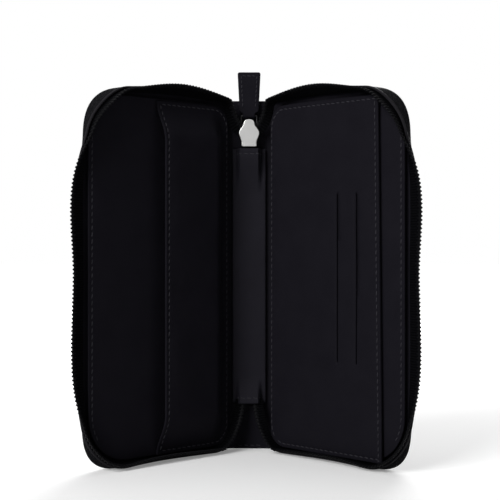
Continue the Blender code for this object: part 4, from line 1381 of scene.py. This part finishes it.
    def layers(self) -> None:
        """The lining and the slip pocket over it, with its seam at the outer edge."""
        label = self.side.label
        fold = SIZES.spine_corner
        margin = 3.4 * MM
        lining = SewnPanel(
            f"{label}_lining",
            self.side,
            self.inset_corners(margin, SIZES.cover_length - margin),
            (fold, SIZES.corner - margin, SIZES.corner - margin, fold),
            1.6 * MM,
            0.75 * MM,
            wave=0.0,
            pillow=0.0,
        )
        piece = lining.build(self.finishes.dull_smooth)
        use(piece, self.side.body, "smooth_leather", f"{label}_cover_lining")
        slip = SewnPanel(
            f"{label}_slip_panel",
            self.side,
            self.inset_corners(3.6 * MM, self.slip_edge),
            (fold, self.slip_corner, self.slip_corner, fold),
            2.7 * MM,
            0.75 * MM,
            sewn=(False, True, False, False),
            groove=0.14 * MM,
            pillow=0.0,
            wave=0.0,
        )
        use(slip.build(self.finishes.smooth), self.side.body, "smooth_leather", f"{label}_slip_pocket")
        flat = slip.stitch_line(1)
        flat = flat[(flat[:, 1] > self.slip_seam_low) & (flat[:, 1] < self.slip_seam_high)]
        line, out = slip.on_face(flat)
        use(STITCHES.build(f"{label}_slip_stitches", line, out, self.finishes.thread), self.side.body, None)

    def build(self) -> None:
        """Makes everything that both covers have."""
        self.outer_leather()
        self.layers()
        HalfZip(self.side, self.finishes).build()


@dataclass
class LeftCover(Cover):
    """The left cover, with the phone pocket."""

    side: Side = Side.LEFT

    def build(self) -> None:
        """Makes the cover and its pocket."""
        super().build()
        low, high = 3.6 * MM, SIZES.height - 4.6 * MM
        start, edge = SIZES.layer_start, 53 * MM
        pocket = PhonePocketPanel(
            "phone_pocket_panel",
            self.side,
            np.array([(start, low), (edge, low), (edge, high), (start, high)]),
            (10 * MM, 1.0 * MM, 1.0 * MM, 10 * MM),
            3.8 * MM,
            0.9 * MM,
            sewn=(True, True, True, True),
            wave=0.30 * MM,
            phase=1.7,
        )
        use(pocket.build(self.finishes.smooth), self.side.body, "smooth_leather", "phone_pocket")
        for number, sides in enumerate(((2, 3, 0), (1,))):
            piece = pocket.stitch(sides, self.finishes.thread)[0]
            piece.name = f"phone_pocket_stitches_{number}"
            use(piece, self.side.body, None)


@dataclass
class RightCover(Cover):
    """The right cover, with the card panel."""

    side: Side = Side.RIGHT
    panel_start: float = 5.0 * MM
    panel_foot: float = 3.4 * MM
    panel_head: float = SIZES.height - 4.4 * MM

    def build(self) -> None:
        """Makes the cover and its card panel."""
        super().build()
        start, low, high = self.panel_start, self.panel_foot, self.panel_head
        panel = CardPanel(
            "card_pocket_panel",
            self.side,
            np.array([(start, low), (82.8 * MM, low), (80.3 * MM, high), (start, high)]),
            (10 * MM, 1.0 * MM, 1.0 * MM, 10 * MM),
            5.0 * MM,
            0.95 * MM,
            sewn=(True, True, True, True),
            wave=0.16 * MM,
            phase=0.4,
        )
        piece = panel.build(self.finishes.smooth)
        panel.cut_slits(piece)
        use(piece, self.side.body, "smooth_leather", "card_panel")
        use(panel.stitch((0, 1, 2, 3), self.finishes.thread)[0], self.side.body, None)
        self.card_liners()

    def card_liners(self) -> None:
        """The thin woven pocket back behind each slit, wide enough for a card."""
        low, high, mouth, reach = 50.5 * MM, 141.1 * MM, 2.5 * MM, 46.2 * MM
        for number, (place, floor) in enumerate(((54.1 * MM, 4.4 * MM), (67.0 * MM, 3.8 * MM)), start=1):
            ends = (place - reach, place + mouth)
            liner = SewnPanel(
                f"card_liner_{number}",
                self.side,
                np.array([(ends[0], low), (ends[1], low), (ends[1], high), (ends[0], high)]),
                (2.5 * MM,) * 4,
                floor,
                0.3 * MM,
                edge_round=0.15 * MM,
                pillow=0.0,
                wave=0.0,
            )
            name = f"card_pocket_{number}"
            use(liner.build(self.finishes.lining), self.side.body, "pocket_fabric", name)


# ---------------------------------------------------------------- spine


@dataclass
class Spine:
    """The spine: outer leather with its folds, the strip that covers the zip's ends, and seams."""

    finishes: Finishes
    half_width: float = 9.0 * MM
    strip_half: float = 9.15 * MM
    strip_bottom: float = 26 * MM
    strip_top: float = 166 * MM
    strip: float = 0.9 * MM
    seam_inset: float = 3.0 * MM
    crown_half: float = 7.3 * MM
    crown_side: float = 2.4 * MM
    flat_depth: float = 1.6 * MM
    top_depth: float = 7.75 * MM
    bottom_depth: float = 6.4 * MM
    top_run: float = 26 * MM
    bottom_run: float = 15 * MM

    def slab(
        self, name: str, plan: Points, finish: bpy.types.Material, low: float, high: float
    ) -> bpy.types.Object:
        """A leather band that stands upright over a line in plan, with softened ends.

        Args:
            name: Name of the piece.
            plan: The line of the inner face in X and Y, shape (n, 2).
            finish: Material of the outer face.
            low: Lower end.
            high: Upper end.

        Returns:
            A closed shell whose inner face is smooth leather.
        """
        along = unit(np.gradient(plan, axis=0))
        back = np.stack([-along[:, 1], along[:, 0]], axis=1)
        back = back * np.sign(back[:, 1].mean())
        rounding = np.array([0.25, 0.06, 0.0, 0.06, 0.25]) * MM
        levels = np.concatenate([[0.0], np.linspace(0.02, 0.98, 22), [1.0]])
        shell = []
        for level in levels:
            trim = rounding if level in (0.0, 1.0) else 0 * rounding
            z = low + (high - low) * level + np.where(level < 0.5, trim, -trim)
            ring_in = np.column_stack([plan, np.full(len(plan), z[0])])
            ring_out = np.column_stack([plan + SIZES.leather * back, np.full(len(plan), z[-1])])
            shell.append(np.concatenate([ring_in, ring_out[::-1]]))
        rings = np.array(shell)
        piece = make_piece(name, rings.reshape(-1, 3), swept_loop(rings), finish)
        piece.data.materials.append(self.finishes.smooth)
        columns = rings.shape[1]
        chosen = np.zeros(len(piece.data.polygons), dtype=np.int32)
        column = np.arange((len(rings) - 1) * columns) % columns
        chosen[: len(column)] = np.where(column < len(plan) - 1, 1, 0)
        piece.data.polygons.foreach_set("material_index", chosen)
        return piece

    def leather(self) -> None:
        """The outer leather of the spine, and the two folds beside it."""
        inner = SIZES.inner_face
        plan = np.column_stack([np.linspace(-self.half_width, self.half_width, 13), np.full(13, inner)])
        back = self.slab("spine_outer_leather", plan, self.finishes.grained, 0.0, SIZES.height)
        use(back, "spine", "grained_leather", "spine_leather")
        for side in Side:
            start = np.array([side.value * self.half_width, inner])
            fold = np.array([side.value * SIZES.fold_half_spacing, inner])
            end = placed(side, np.array([SIZES.wall_start, 0.0, 0.0]))[:2]
            t = np.linspace(0.0, 1.0, 14)[:, None]
            plan = (1 - t) ** 2 * start + 2 * t * (1 - t) * fold + t**2 * end
            name = f"{side.label}_fold"
            piece = self.slab(name, plan, self.finishes.grained, 0.0, SIZES.height)
            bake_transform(piece)
            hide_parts(f"{side.label}_fold_leather")
            LOG.info("%s bends between the spine and %s", piece.name, side.body)

    def strip_depth(self, x: Points, z: Points) -> Points:
        """Depth of the strip's underside in front of the spine, raised over both zip ends."""
        up = smooth_step((z - self.strip_top + self.top_run) / self.top_run)
        down = smooth_step((self.strip_bottom + self.bottom_run - z) / self.bottom_run)
        crown = (self.top_depth - self.flat_depth) * up + (self.bottom_depth - self.flat_depth) * down
        across = smooth_step((self.crown_half - np.abs(x)) / self.crown_side)
        return self.flat_depth + crown * across

    def lining_strip(self) -> None:
        """The strip, with pressed seams near its upper and lower ends."""
        x = np.concatenate([[-1.0, -0.985, -0.94], np.linspace(-0.88, 0.88, 27), [0.94, 0.985, 1.0]])
        x = (x * self.strip_half)[None, :]
        near = np.array([0.0, 0.15, 0.5, 1.0, 1.8, 2.4, 3.0, 3.6, 4.4]) * MM
        z = np.concatenate(
            [
                self.strip_bottom + near,
                np.linspace(self.strip_bottom + 7 * MM, self.strip_top - 7 * MM, 60),
                self.strip_top - near[::-1],
            ]
        )[:, None]
        x, z = np.broadcast_arrays(x, z)
        depth = self.strip_depth(x, z)
        from_side = self.strip_half - np.abs(x)
        from_end = np.minimum(z - self.strip_bottom, self.strip_top - z)
        edge = np.minimum(from_side, from_end)
        rounding = np.sqrt(np.clip(1 - np.clip(1 - edge / (0.45 * MM), 0, 1) ** 2, 0, 1))
        face = depth + self.strip * (0.35 + 0.65 * rounding)
        face = face - 0.2 * MM * np.exp(-(((from_end - self.seam_inset) / (0.6 * MM)) ** 2))
        face = face + 0.15 * MM * slow_waves(x, z, 2.9) * smooth_step(edge / (5 * MM))
        inner = SIZES.inner_face
        sides = [np.stack([x, inner - level, z], axis=-1).reshape(-1, 3) for level in (face, depth)]
        points = np.concatenate(sides)
        rows, columns = x.shape
        index = np.arange(rows * columns).reshape(rows, columns)
        faces = strip_faces(rows, columns, False, False)
        count = rows * columns
        faces += [[v + count for v in quad[::-1]] for quad in faces]
        rim = np.concatenate([index[0, :-1], index[:-1, -1], index[-1, :0:-1], index[:0:-1, 0]])
        after = np.roll(rim, -1)
        faces += np.stack([rim, rim + count, after + count, after], axis=1).tolist()
        # The strip's material is the covers' calf leather painted paler, as painted light where it faces the
        # lamps.
        piece = make_piece("lining_strip", points, faces, self.finishes.strip)
        use(piece, "spine", "smooth_leather", "spine_strip")
        self.strip_seams()

    def strip_seams(self) -> None:
        """Stitch rows across both ends of the strip, and across the spine above and below it."""
        inner = SIZES.inner_face
        rows = {
            "strip_top": (self.strip_top - self.seam_inset, True, self.strip_half - 0.8 * MM),
            "strip_bottom": (self.strip_bottom + self.seam_inset, True, self.strip_half - 0.8 * MM),
            "spine_foot": (2.0 * MM, False, self.half_width),
            "spine_head": (SIZES.height - 2.0 * MM, False, self.half_width),
        }
        for name, (level, on_strip, reach) in rows.items():
            x = np.linspace(-reach, reach, 60)
            z = np.full(60, level)
            depth = self.strip_depth(x, z) + self.strip - 0.2 * MM if on_strip else np.zeros(60)
            line = np.stack([x, inner - depth, z], axis=1)
            slope = np.gradient(depth, x)
            out = unit(np.stack([-slope, -np.ones(60), np.zeros(60)], axis=1))
            use(STITCHES.build(f"{name}_stitches", line, out, self.finishes.thread), "spine", None)

    def build(self) -> None:
        """Makes the spine."""
        self.leather()
        self.lining_strip()


# ---------------------------------------------------------------- slider and pull


@dataclass
class SliderAndPull:
    """The slider's casting, the wire ring in its bridge and the folded leather pull."""

    finishes: Finishes
    plate: float = 0.8 * MM
    back: float = 3.6 * MM
    slot: float = 0.8 * MM
    channel: float = 2.1 * MM
    mouth: float = 4.3 * MM
    shoulder: float = 5.5 * MM
    shoulder_height: float = 6.7 * MM
    nose: float = 14.0 * MM
    wire: float = 0.5 * MM
    ring_half: float = 4.3 * MM
    ring_length: float = 9.0 * MM
    ring_depth: float = 2.85 * MM
    ring_height: float = 175.45 * MM
    pull_length: float = 24.6 * MM
    pull_half: float = 5.15 * MM
    pull_end_half: float = 6.4 * MM
    neck_half: float = 3.35 * MM
    pull_thick: float = 2.2 * MM
    pull_leather: float = 1.0 * MM
    tip_round: float = 1.4 * MM
    bend_run: float = 4.5 * MM
    lean: float = math.radians(8.5)

    def plate_outline(self, nose: float) -> Points:
        """A plate's outline in X and Z: a square foot, wide shoulders, a waist and a small round head.

        Half widths are shares of the shoulder's, at shares of the height, joined by a smooth curve.
        """
        height = self.nose + nose
        places = np.array([0.0, 0.20, 0.33, 0.45, 0.58, 0.67, 0.78, 0.86, 0.93, 0.98, 1.0])
        widths = np.array([0.74, 0.75, 0.88, 1.0, 0.95, 0.80, 0.58, 0.54, 0.46, 0.26, 0.0])
        share = np.concatenate([np.linspace(0.06, 0.9, 30), np.linspace(0.92, 0.998, 12)])
        side = np.stack([self.shoulder * smooth_through(places, widths, share), height * share], axis=1)
        foot = side[0, 0]
        corner = np.array([(foot - 0.6 * MM, 0.0), (foot - 0.18 * MM, 0.18 * MM)])
        right = np.concatenate([corner, side])
        left = right[::-1] * [-1.0, 1.0]
        return np.concatenate([right, [[0.0, height]], left])

    def flat_part(
        self, name: str, outline: Points, front: float, back: float, bevel: float
    ) -> bpy.types.Object:
        """A plate between two depths in front of the spine, its edges rounded by a bevel."""
        levels = [np.full(len(outline), SIZES.inner_face - depth) for depth in (front, back)]
        rings = np.stack([np.column_stack([outline[:, 0], level, outline[:, 1]]) for level in levels])
        piece = make_piece(name, rings, swept_loop(rings), self.finishes.nickel)
        rounding = piece.modifiers.new("rounded edges", "BEVEL")
        rounding.width = bevel
        rounding.segments = 3
        rounding.limit_method = "ANGLE"
        rounding.angle_limit = math.radians(50)
        apply_modifiers(piece)
        return piece

    def slider(self) -> None:
        """The slider: two plates, the wedge between them, side flanges and the bridge behind."""
        lift = np.array([0.0, ZIP.slider_bottom])
        channel_back = self.back + self.plate
        channel_front = channel_back + self.slot + self.channel
        front = channel_front + self.plate
        front_outline = self.plate_outline(0.9 * MM) + lift
        back_outline = self.plate_outline(1.0 * MM) + lift
        parts = [
            self.flat_part("slider_front_plate", front_outline, front, channel_front, 0.25 * MM),
            self.flat_part("slider_back_plate", back_outline, channel_back, self.back, 0.2 * MM),
        ]
        wedge = np.array([(0.0, 9.2 * MM), (1.9 * MM, 13.2 * MM), (-1.9 * MM, 13.2 * MM)]) + lift
        overlap = self.plate / 2
        parts.append(
            self.flat_part("slider_wedge", wedge, channel_front + overlap, channel_back - overlap, 0.15 * MM)
        )
        for sign, label in ((-1, "left"), (1, "right")):
            outer = sign * (self.mouth - 0.15 * MM)
            wall = outer - sign * 0.8 * MM
            low, high = 0.3 * MM, 0.6 * self.shoulder_height
            flange = np.array([(outer, low), (outer, high), (wall, high), (wall, low)]) + lift
            parts.append(
                self.flat_part(
                    f"slider_{label}_flange",
                    flange,
                    channel_front + overlap,
                    channel_back + self.slot,
                    0.12 * MM,
                )
            )
        parts.append(self.bridge())
        for part in parts:
            use(part, "slider", "satin_nickel")
        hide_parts("slider_body")

    def bridge(self) -> bpy.types.Object:
        """The arch behind the back plate: a strap swept over a rounded line, 2.8 mm wide."""
        foot = self.back + self.plate / 2
        crest = self.back - 2 * (self.wire + 0.25 * MM) - 0.4 * MM
        low, high = ZIP.slider_bottom + 3.4 * MM, ZIP.slider_bottom + 9.6 * MM
        turn = np.linspace(0.0, math.pi / 2, 6)
        inwards = crest + (foot - crest) * (1 - np.sin(turn))
        lower = np.stack([inwards, low + 1.0 * MM * (1 - np.cos(turn))], axis=1)
        upper = np.stack([lower[::-1, 0], high - (lower[::-1, 1] - low)], axis=1)
        line = np.concatenate([lower, upper])
        inner = SIZES.inner_face
        centre = np.column_stack([np.zeros(len(line)), inner - line[:, 0], line[:, 1]])
        along = unit(np.gradient(centre, axis=0))
        sideways = np.array([1.0, 0.0, 0.0])
        out = np.cross(along, sideways)
        angle = np.linspace(0.0, 2 * math.pi, 16, endpoint=False)
        x = np.sign(np.cos(angle)) * np.abs(np.cos(angle)) ** 0.5 * 1.4 * MM
        y = np.sign(np.sin(angle)) * np.abs(np.sin(angle)) ** 0.5 * 0.4 * MM
        rings = centre[:, None] + x[:, None] * sideways + y[:, None] * out[:, None]
        return make_piece("slider_bridge", rings, swept_loop(rings), self.finishes.nickel)

    def ring(self) -> None:
        """The ring: round wire bent to an oblong with small corners."""
        radius = 0.9 * MM
        half, length = self.ring_half, self.ring_length
        corners = np.array([(-half, 0.0), (half, 0.0), (half, length), (-half, length)])
        outline = np.concatenate([side[:-1] for side in rounded_outline(corners, (radius,) * 4, 8)])
        centre = np.column_stack(
            [
                outline[:, 0],
                np.full(len(outline), SIZES.inner_face - self.ring_depth),
                outline[:, 1] + self.ring_height,
            ]
        )
        along = unit(np.roll(centre, -1, axis=0) - np.roll(centre, 1, axis=0))
        away = np.array([0.0, 1.0, 0.0])
        out = np.cross(along, away)
        angle = np.linspace(0.0, 2 * math.pi, 12, endpoint=False)
        rings = centre[:, None] + self.wire * (
            np.cos(angle)[:, None] * out[:, None] + np.sin(angle)[:, None] * away
        )
        faces = strip_faces(*rings.shape[:2], True, True)
        # The ring's nickel is painted dark, as painted shade where it hangs behind the slider.
        piece = make_piece("wire_ring", rings, faces, self.finishes.dark_wire)
        use(piece, "ring", "satin_nickel", "pull_ring")

    def pull_point(self, points: Points) -> Points:
        """Points given in the pull's own directions, leaned back and put on the ring's upper bar."""
        x, y, z = points[..., 0], points[..., 1], points[..., 2]
        away = y * math.cos(self.lean) + z * math.sin(self.lean)
        up = -y * math.sin(self.lean) + z * math.cos(self.lean)
        bar = np.array([0.0, SIZES.inner_face - self.ring_depth, self.ring_height + self.ring_length])
        return np.stack([x, away, up], axis=-1) + bar

    def half_width(self, height: Points) -> Points:
        """Half the strap's width at heights over the ring's bar: a neck that flares, then widens slowly."""
        widening = smooth_step((height - 0.7 * MM) / (1.5 * MM))
        width = self.neck_half + (self.pull_half - self.neck_half) * widening
        width = width + (self.pull_end_half - self.pull_half) * np.clip(height / self.pull_length, 0, 1)
        tip = np.clip((height - self.pull_length + self.tip_round) / self.tip_round, 0.0, 1.0)
        return width - self.tip_round * (1 - np.sqrt(1 - 0.98 * tip**2))

    def half_thickness(self, height: Points) -> Points:
        """Half the folded strap's thickness: round over the bar, then drawn flat."""
        fold = self.wire + 0.25 * MM + self.pull_leather
        round_fold = np.sqrt(np.clip(fold**2 - np.minimum(height, 0.0) ** 2, 0.0, None))
        flat = self.pull_thick / 2
        thick = round_fold + (flat - round_fold) * smooth_step(height / self.bend_run)
        end = np.clip(1 - (self.pull_length - height) / (0.7 * flat), 0.0, 0.98)
        return thick * np.sqrt(1 - end**2)

    def pull(self) -> None:
        """The pull: a strap folded over the ring, with a seam line between its layers and stitches."""
        fold = self.wire + 0.25 * MM + self.pull_leather
        below = -fold * np.cos(np.linspace(0.12, math.pi / 2, 12))[:-1]
        above = np.concatenate(
            [
                np.linspace(0.0, self.pull_length - 2.0 * MM, 46),
                self.pull_length - np.array([1.7, 1.4, 1.1, 0.8, 0.5, 0.3, 0.15, 0.05, 0.0]) * MM,
            ]
        )
        height = np.concatenate([below, above])
        half = self.half_width(height)[:, None]
        thick = self.half_thickness(height)[:, None]
        side = np.array([0.0, 0.3, 0.6, 0.78, 0.9, 0.97, 1.0, 0.995])
        side = np.concatenate([side, [0.96], side[:0:-1]])
        face = np.array([1.0, 1.0, 1.0, 1.0, 0.97, 0.86, 0.62, 0.2])
        face = np.concatenate([face, [0.0], -face[:0:-1]])
        x = np.concatenate([side, [0.0], -side[:0:-1]])
        y = np.concatenate([face, [-1.0], face[:0:-1]])
        rings = np.stack([half * x, -thick * y, height[:, None] + 0 * x], axis=-1)
        strap = self.pull_point(rings)
        piece = make_piece("leather_pull_strap", strap, swept_loop(rings), self.finishes.smooth)
        hole = np.linspace(0.0, 2 * math.pi, 16, endpoint=False)
        reach = self.wire + 0.22 * MM
        eye = np.stack(
            [
                np.stack([np.full(16, x_end), reach * np.cos(hole), reach * np.sin(hole)], axis=1)
                for x_end in (-8 * MM, 8 * MM)
            ]
        )
        cutter = make_piece("eye", self.pull_point(eye), swept_loop(eye), self.finishes.smooth)
        cut = piece.modifiers.new("eye", "BOOLEAN")
        cut.operation = "DIFFERENCE"
        cut.object = cutter
        apply_modifiers(piece)
        bpy.data.objects.remove(cutter, do_unlink=True)
        use(piece, "pull", "smooth_leather", "leather_pull")
        self.pull_stitches()

    def pull_stitches(self) -> None:
        """A stitch row up one edge, across the end and down the other, on both faces."""
        inset = 1.9 * MM
        top = self.pull_length - 2.4 * MM
        height = np.linspace(3.0 * MM, top, 60)
        right = np.column_stack([self.half_width(height) - inset, height])
        across = np.column_stack([np.linspace(right[-1, 0], -right[-1, 0], 20)[1:-1], np.full(18, top)])
        left = right[::-1] * [-1.0, 1.0]
        flat = np.concatenate([right, across, left])
        thick = self.half_thickness(flat[:, 1])
        row = StitchRow(pitch=2.6 * MM, length=1.8 * MM, thread=0.22 * MM)
        for name, sign in (("front", -1.0), ("back", 1.0)):
            line = np.column_stack([flat[:, 0], sign * thick, flat[:, 1]])
            out = np.column_stack([0 * thick, np.full(len(thick), sign), 0 * thick])
            origin = self.pull_point(np.zeros(3))
            direction = self.pull_point(out) - origin
            use(
                row.build(f"pull_{name}_stitches", self.pull_point(line), direction, self.finishes.thread),
                "pull",
                None,
            )

    def build(self) -> None:
        """Makes the slider, the ring and the pull."""
        self.slider()
        self.ring()
        self.pull()


# ---------------------------------------------------------------- nodes that keep their shape


def dress_kept_nodes(finishes: Finishes, nodes: dict[str, bpy.types.Object]) -> None:
    """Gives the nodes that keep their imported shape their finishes.

    Args:
        finishes: The organizer's materials.
        nodes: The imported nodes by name.
    """
    kept = {
        "left_cover_board": finishes.board,
        "right_cover_board": finishes.board,
        "spine_stiffener": finishes.board,
    }
    for name, finish in kept.items():
        mesh = nodes[name].data
        mesh.materials.clear()
        mesh.materials.append(finish)


# ---------------------------------------------------------------- camera, light and ground


@dataclass(frozen=True)
class Studio:
    """The camera at the photograph's place, soft lamps, and a pale ground."""

    distance: float = 632 * MM
    height: float = 113 * MM
    aside: float = 0.5 * MM
    lens: float = 82.1
    shift_y: float = -0.01

    def camera(self) -> None:
        """A level camera at the height of the case's middle."""
        data = bpy.data.cameras.new("camera")
        data.lens = self.lens
        data.sensor_width = 36.0
        data.shift_y = self.shift_y
        data.clip_start = 0.01
        camera = bpy.data.objects.new("camera", data)
        camera.location = (self.aside, SIZES.inner_face - self.distance, self.height)
        camera.rotation_euler = (math.pi / 2, 0.0, 0.0)
        bpy.context.scene.collection.objects.link(camera)
        bpy.context.scene.camera = camera

    def lamp(self, name: str, place: tuple, aim: tuple, size: float, power: float) -> None:
        """A square soft box that faces a point."""
        data = bpy.data.lights.new(name, "AREA")
        data.size = size
        data.energy = power
        lamp = bpy.data.objects.new(name, data)
        lamp.location = place
        direction = np.array(aim) - np.array(place)
        flat = math.hypot(direction[0], direction[1])
        lamp.rotation_euler = (math.atan2(flat, -direction[2]), 0.0, math.atan2(-direction[0], direction[1]))
        bpy.context.scene.collection.objects.link(lamp)

    @staticmethod
    def seen_directly(tree: bpy.types.NodeTree) -> bpy.types.NodeSocket:
        """1 for rays from the camera or through glass, 0.45 for reflected ones, 0 for others."""
        ray = tree.nodes.new("ShaderNodeLightPath")
        seen = ray.outputs["Is Camera Ray"]
        for kind, share in (("Is Glossy Ray", 0.45), ("Is Transmission Ray", 1.0)):
            dimmed = tree.nodes.new("ShaderNodeMath")
            dimmed.operation = "MULTIPLY"
            dimmed.inputs[1].default_value = share
            tree.links.new(ray.outputs[kind], dimmed.inputs[0])
            either = tree.nodes.new("ShaderNodeMath")
            either.operation = "MAXIMUM"
            tree.links.new(seen, either.inputs[0])
            tree.links.new(dimmed.outputs[0], either.inputs[1])
            seen = either.outputs[0]
        return seen

    def white_for_camera(self, material: bpy.types.Material, near: float, far: float) -> None:
        """Adds white to what the camera sees of the ground, more where less light falls on it.

        Args:
            material: The ground's material.
            near: The white added under the case.
            far: The white added from 0.9 m away.
        """
        tree = material.node_tree
        shader = tree.nodes["Principled BSDF"]
        place = tree.nodes.new("ShaderNodeTexCoord").outputs["Object"]
        away = tree.nodes.new("ShaderNodeVectorMath")
        away.operation = "LENGTH"
        tree.links.new(place, away.inputs[0])
        growing = tree.nodes.new("ShaderNodeMapRange")
        growing.interpolation_type = "SMOOTHSTEP"
        for socket, value in zip(("From Min", "From Max", "To Min", "To Max"), (0.12, 0.9, near, far)):
            growing.inputs[socket].default_value = value
        tree.links.new(away.outputs["Value"], growing.inputs["Value"])
        scale = tree.nodes.new("ShaderNodeMath")
        scale.operation = "MULTIPLY"
        tree.links.new(growing.outputs["Result"], scale.inputs[1])
        tree.links.new(self.seen_directly(tree), scale.inputs[0])
        tree.links.new(scale.outputs[0], shader.inputs["Emission Strength"])
        shader.inputs["Emission Color"].default_value = (1.0, 1.0, 1.0, 1.0)

    def ground(self) -> None:
        """A wide white floor."""
        mesh = bpy.data.meshes.new("floor")
        reach = 6.0
        corners = [(-reach, -reach, 0.0), (reach, -reach, 0.0), (reach, reach, 0.0), (-reach, reach, 0.0)]
        mesh.from_pydata(corners, [], [(0, 1, 2, 3)])
        material = bpy.data.materials.new("white_paper")
        material.use_nodes = True
        shader = material.node_tree.nodes["Principled BSDF"]
        shader.inputs["Base Color"].default_value = linear("#f4f4f4")
        shader.inputs["Roughness"].default_value = 0.9
        shader.inputs["Specular IOR Level"].default_value = 0.1
        self.white_for_camera(material, 0.20, 0.92)
        mesh.materials.append(material)
        floor = bpy.data.objects.new("floor", mesh)
        bpy.context.scene.collection.objects.link(floor)

    def world(self) -> None:
        """A white surround that the camera sees as white, and that lights softly."""
        world = bpy.data.worlds.new("white_surround")
        world.use_nodes = True
        bpy.context.scene.world = world
        tree = world.node_tree
        shade = tree.nodes["Background"]
        shade.inputs["Color"].default_value = (1.0, 1.0, 1.0, 1.0)
        seen = self.seen_directly(tree)
        mixed = tree.nodes.new("ShaderNodeMapRange")
        mixed.inputs["To Min"].default_value = 0.10
        mixed.inputs["To Max"].default_value = 1.0
        tree.links.new(seen, mixed.inputs["Value"])
        tree.links.new(mixed.outputs["Result"], shade.inputs["Strength"])

    def build(self) -> None:
        """Sets up the studio."""
        self.camera()
        self.ground()
        self.world()
        aim = (0.0, -0.03, 0.10)
        self.lamp("key_softbox", (-0.72, -0.98, 0.70), aim, 0.7, 17.0)
        self.lamp("fill_softbox", (0.9, -0.5, 0.5), aim, 0.8, 0.6)
        self.lamp("overhead_softbox", (0.0, 0.30, 1.1), aim, 0.9, 3.5)
        self.lamp("back_softbox", (0.35, 1.25, 0.60), aim, 0.8, 16.0)
        view = bpy.context.scene.view_settings
        view.view_transform = "Standard"


# ---------------------------------------------------------------- main


def main() -> None:
    """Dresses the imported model, piece by piece."""
    logging.basicConfig(level=logging.INFO, format="%(message)s")
    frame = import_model()
    Studio().build()
    finishes = Finishes()
    Spine(finishes).build()
    JoinedZip(finishes).build()
    LeftCover(finishes=finishes).build()
    RightCover(finishes=finishes).build()
    SliderAndPull(finishes).build()
    dress_kept_nodes(finishes, frame["nodes"])


if __name__ == "__main__":
    main()
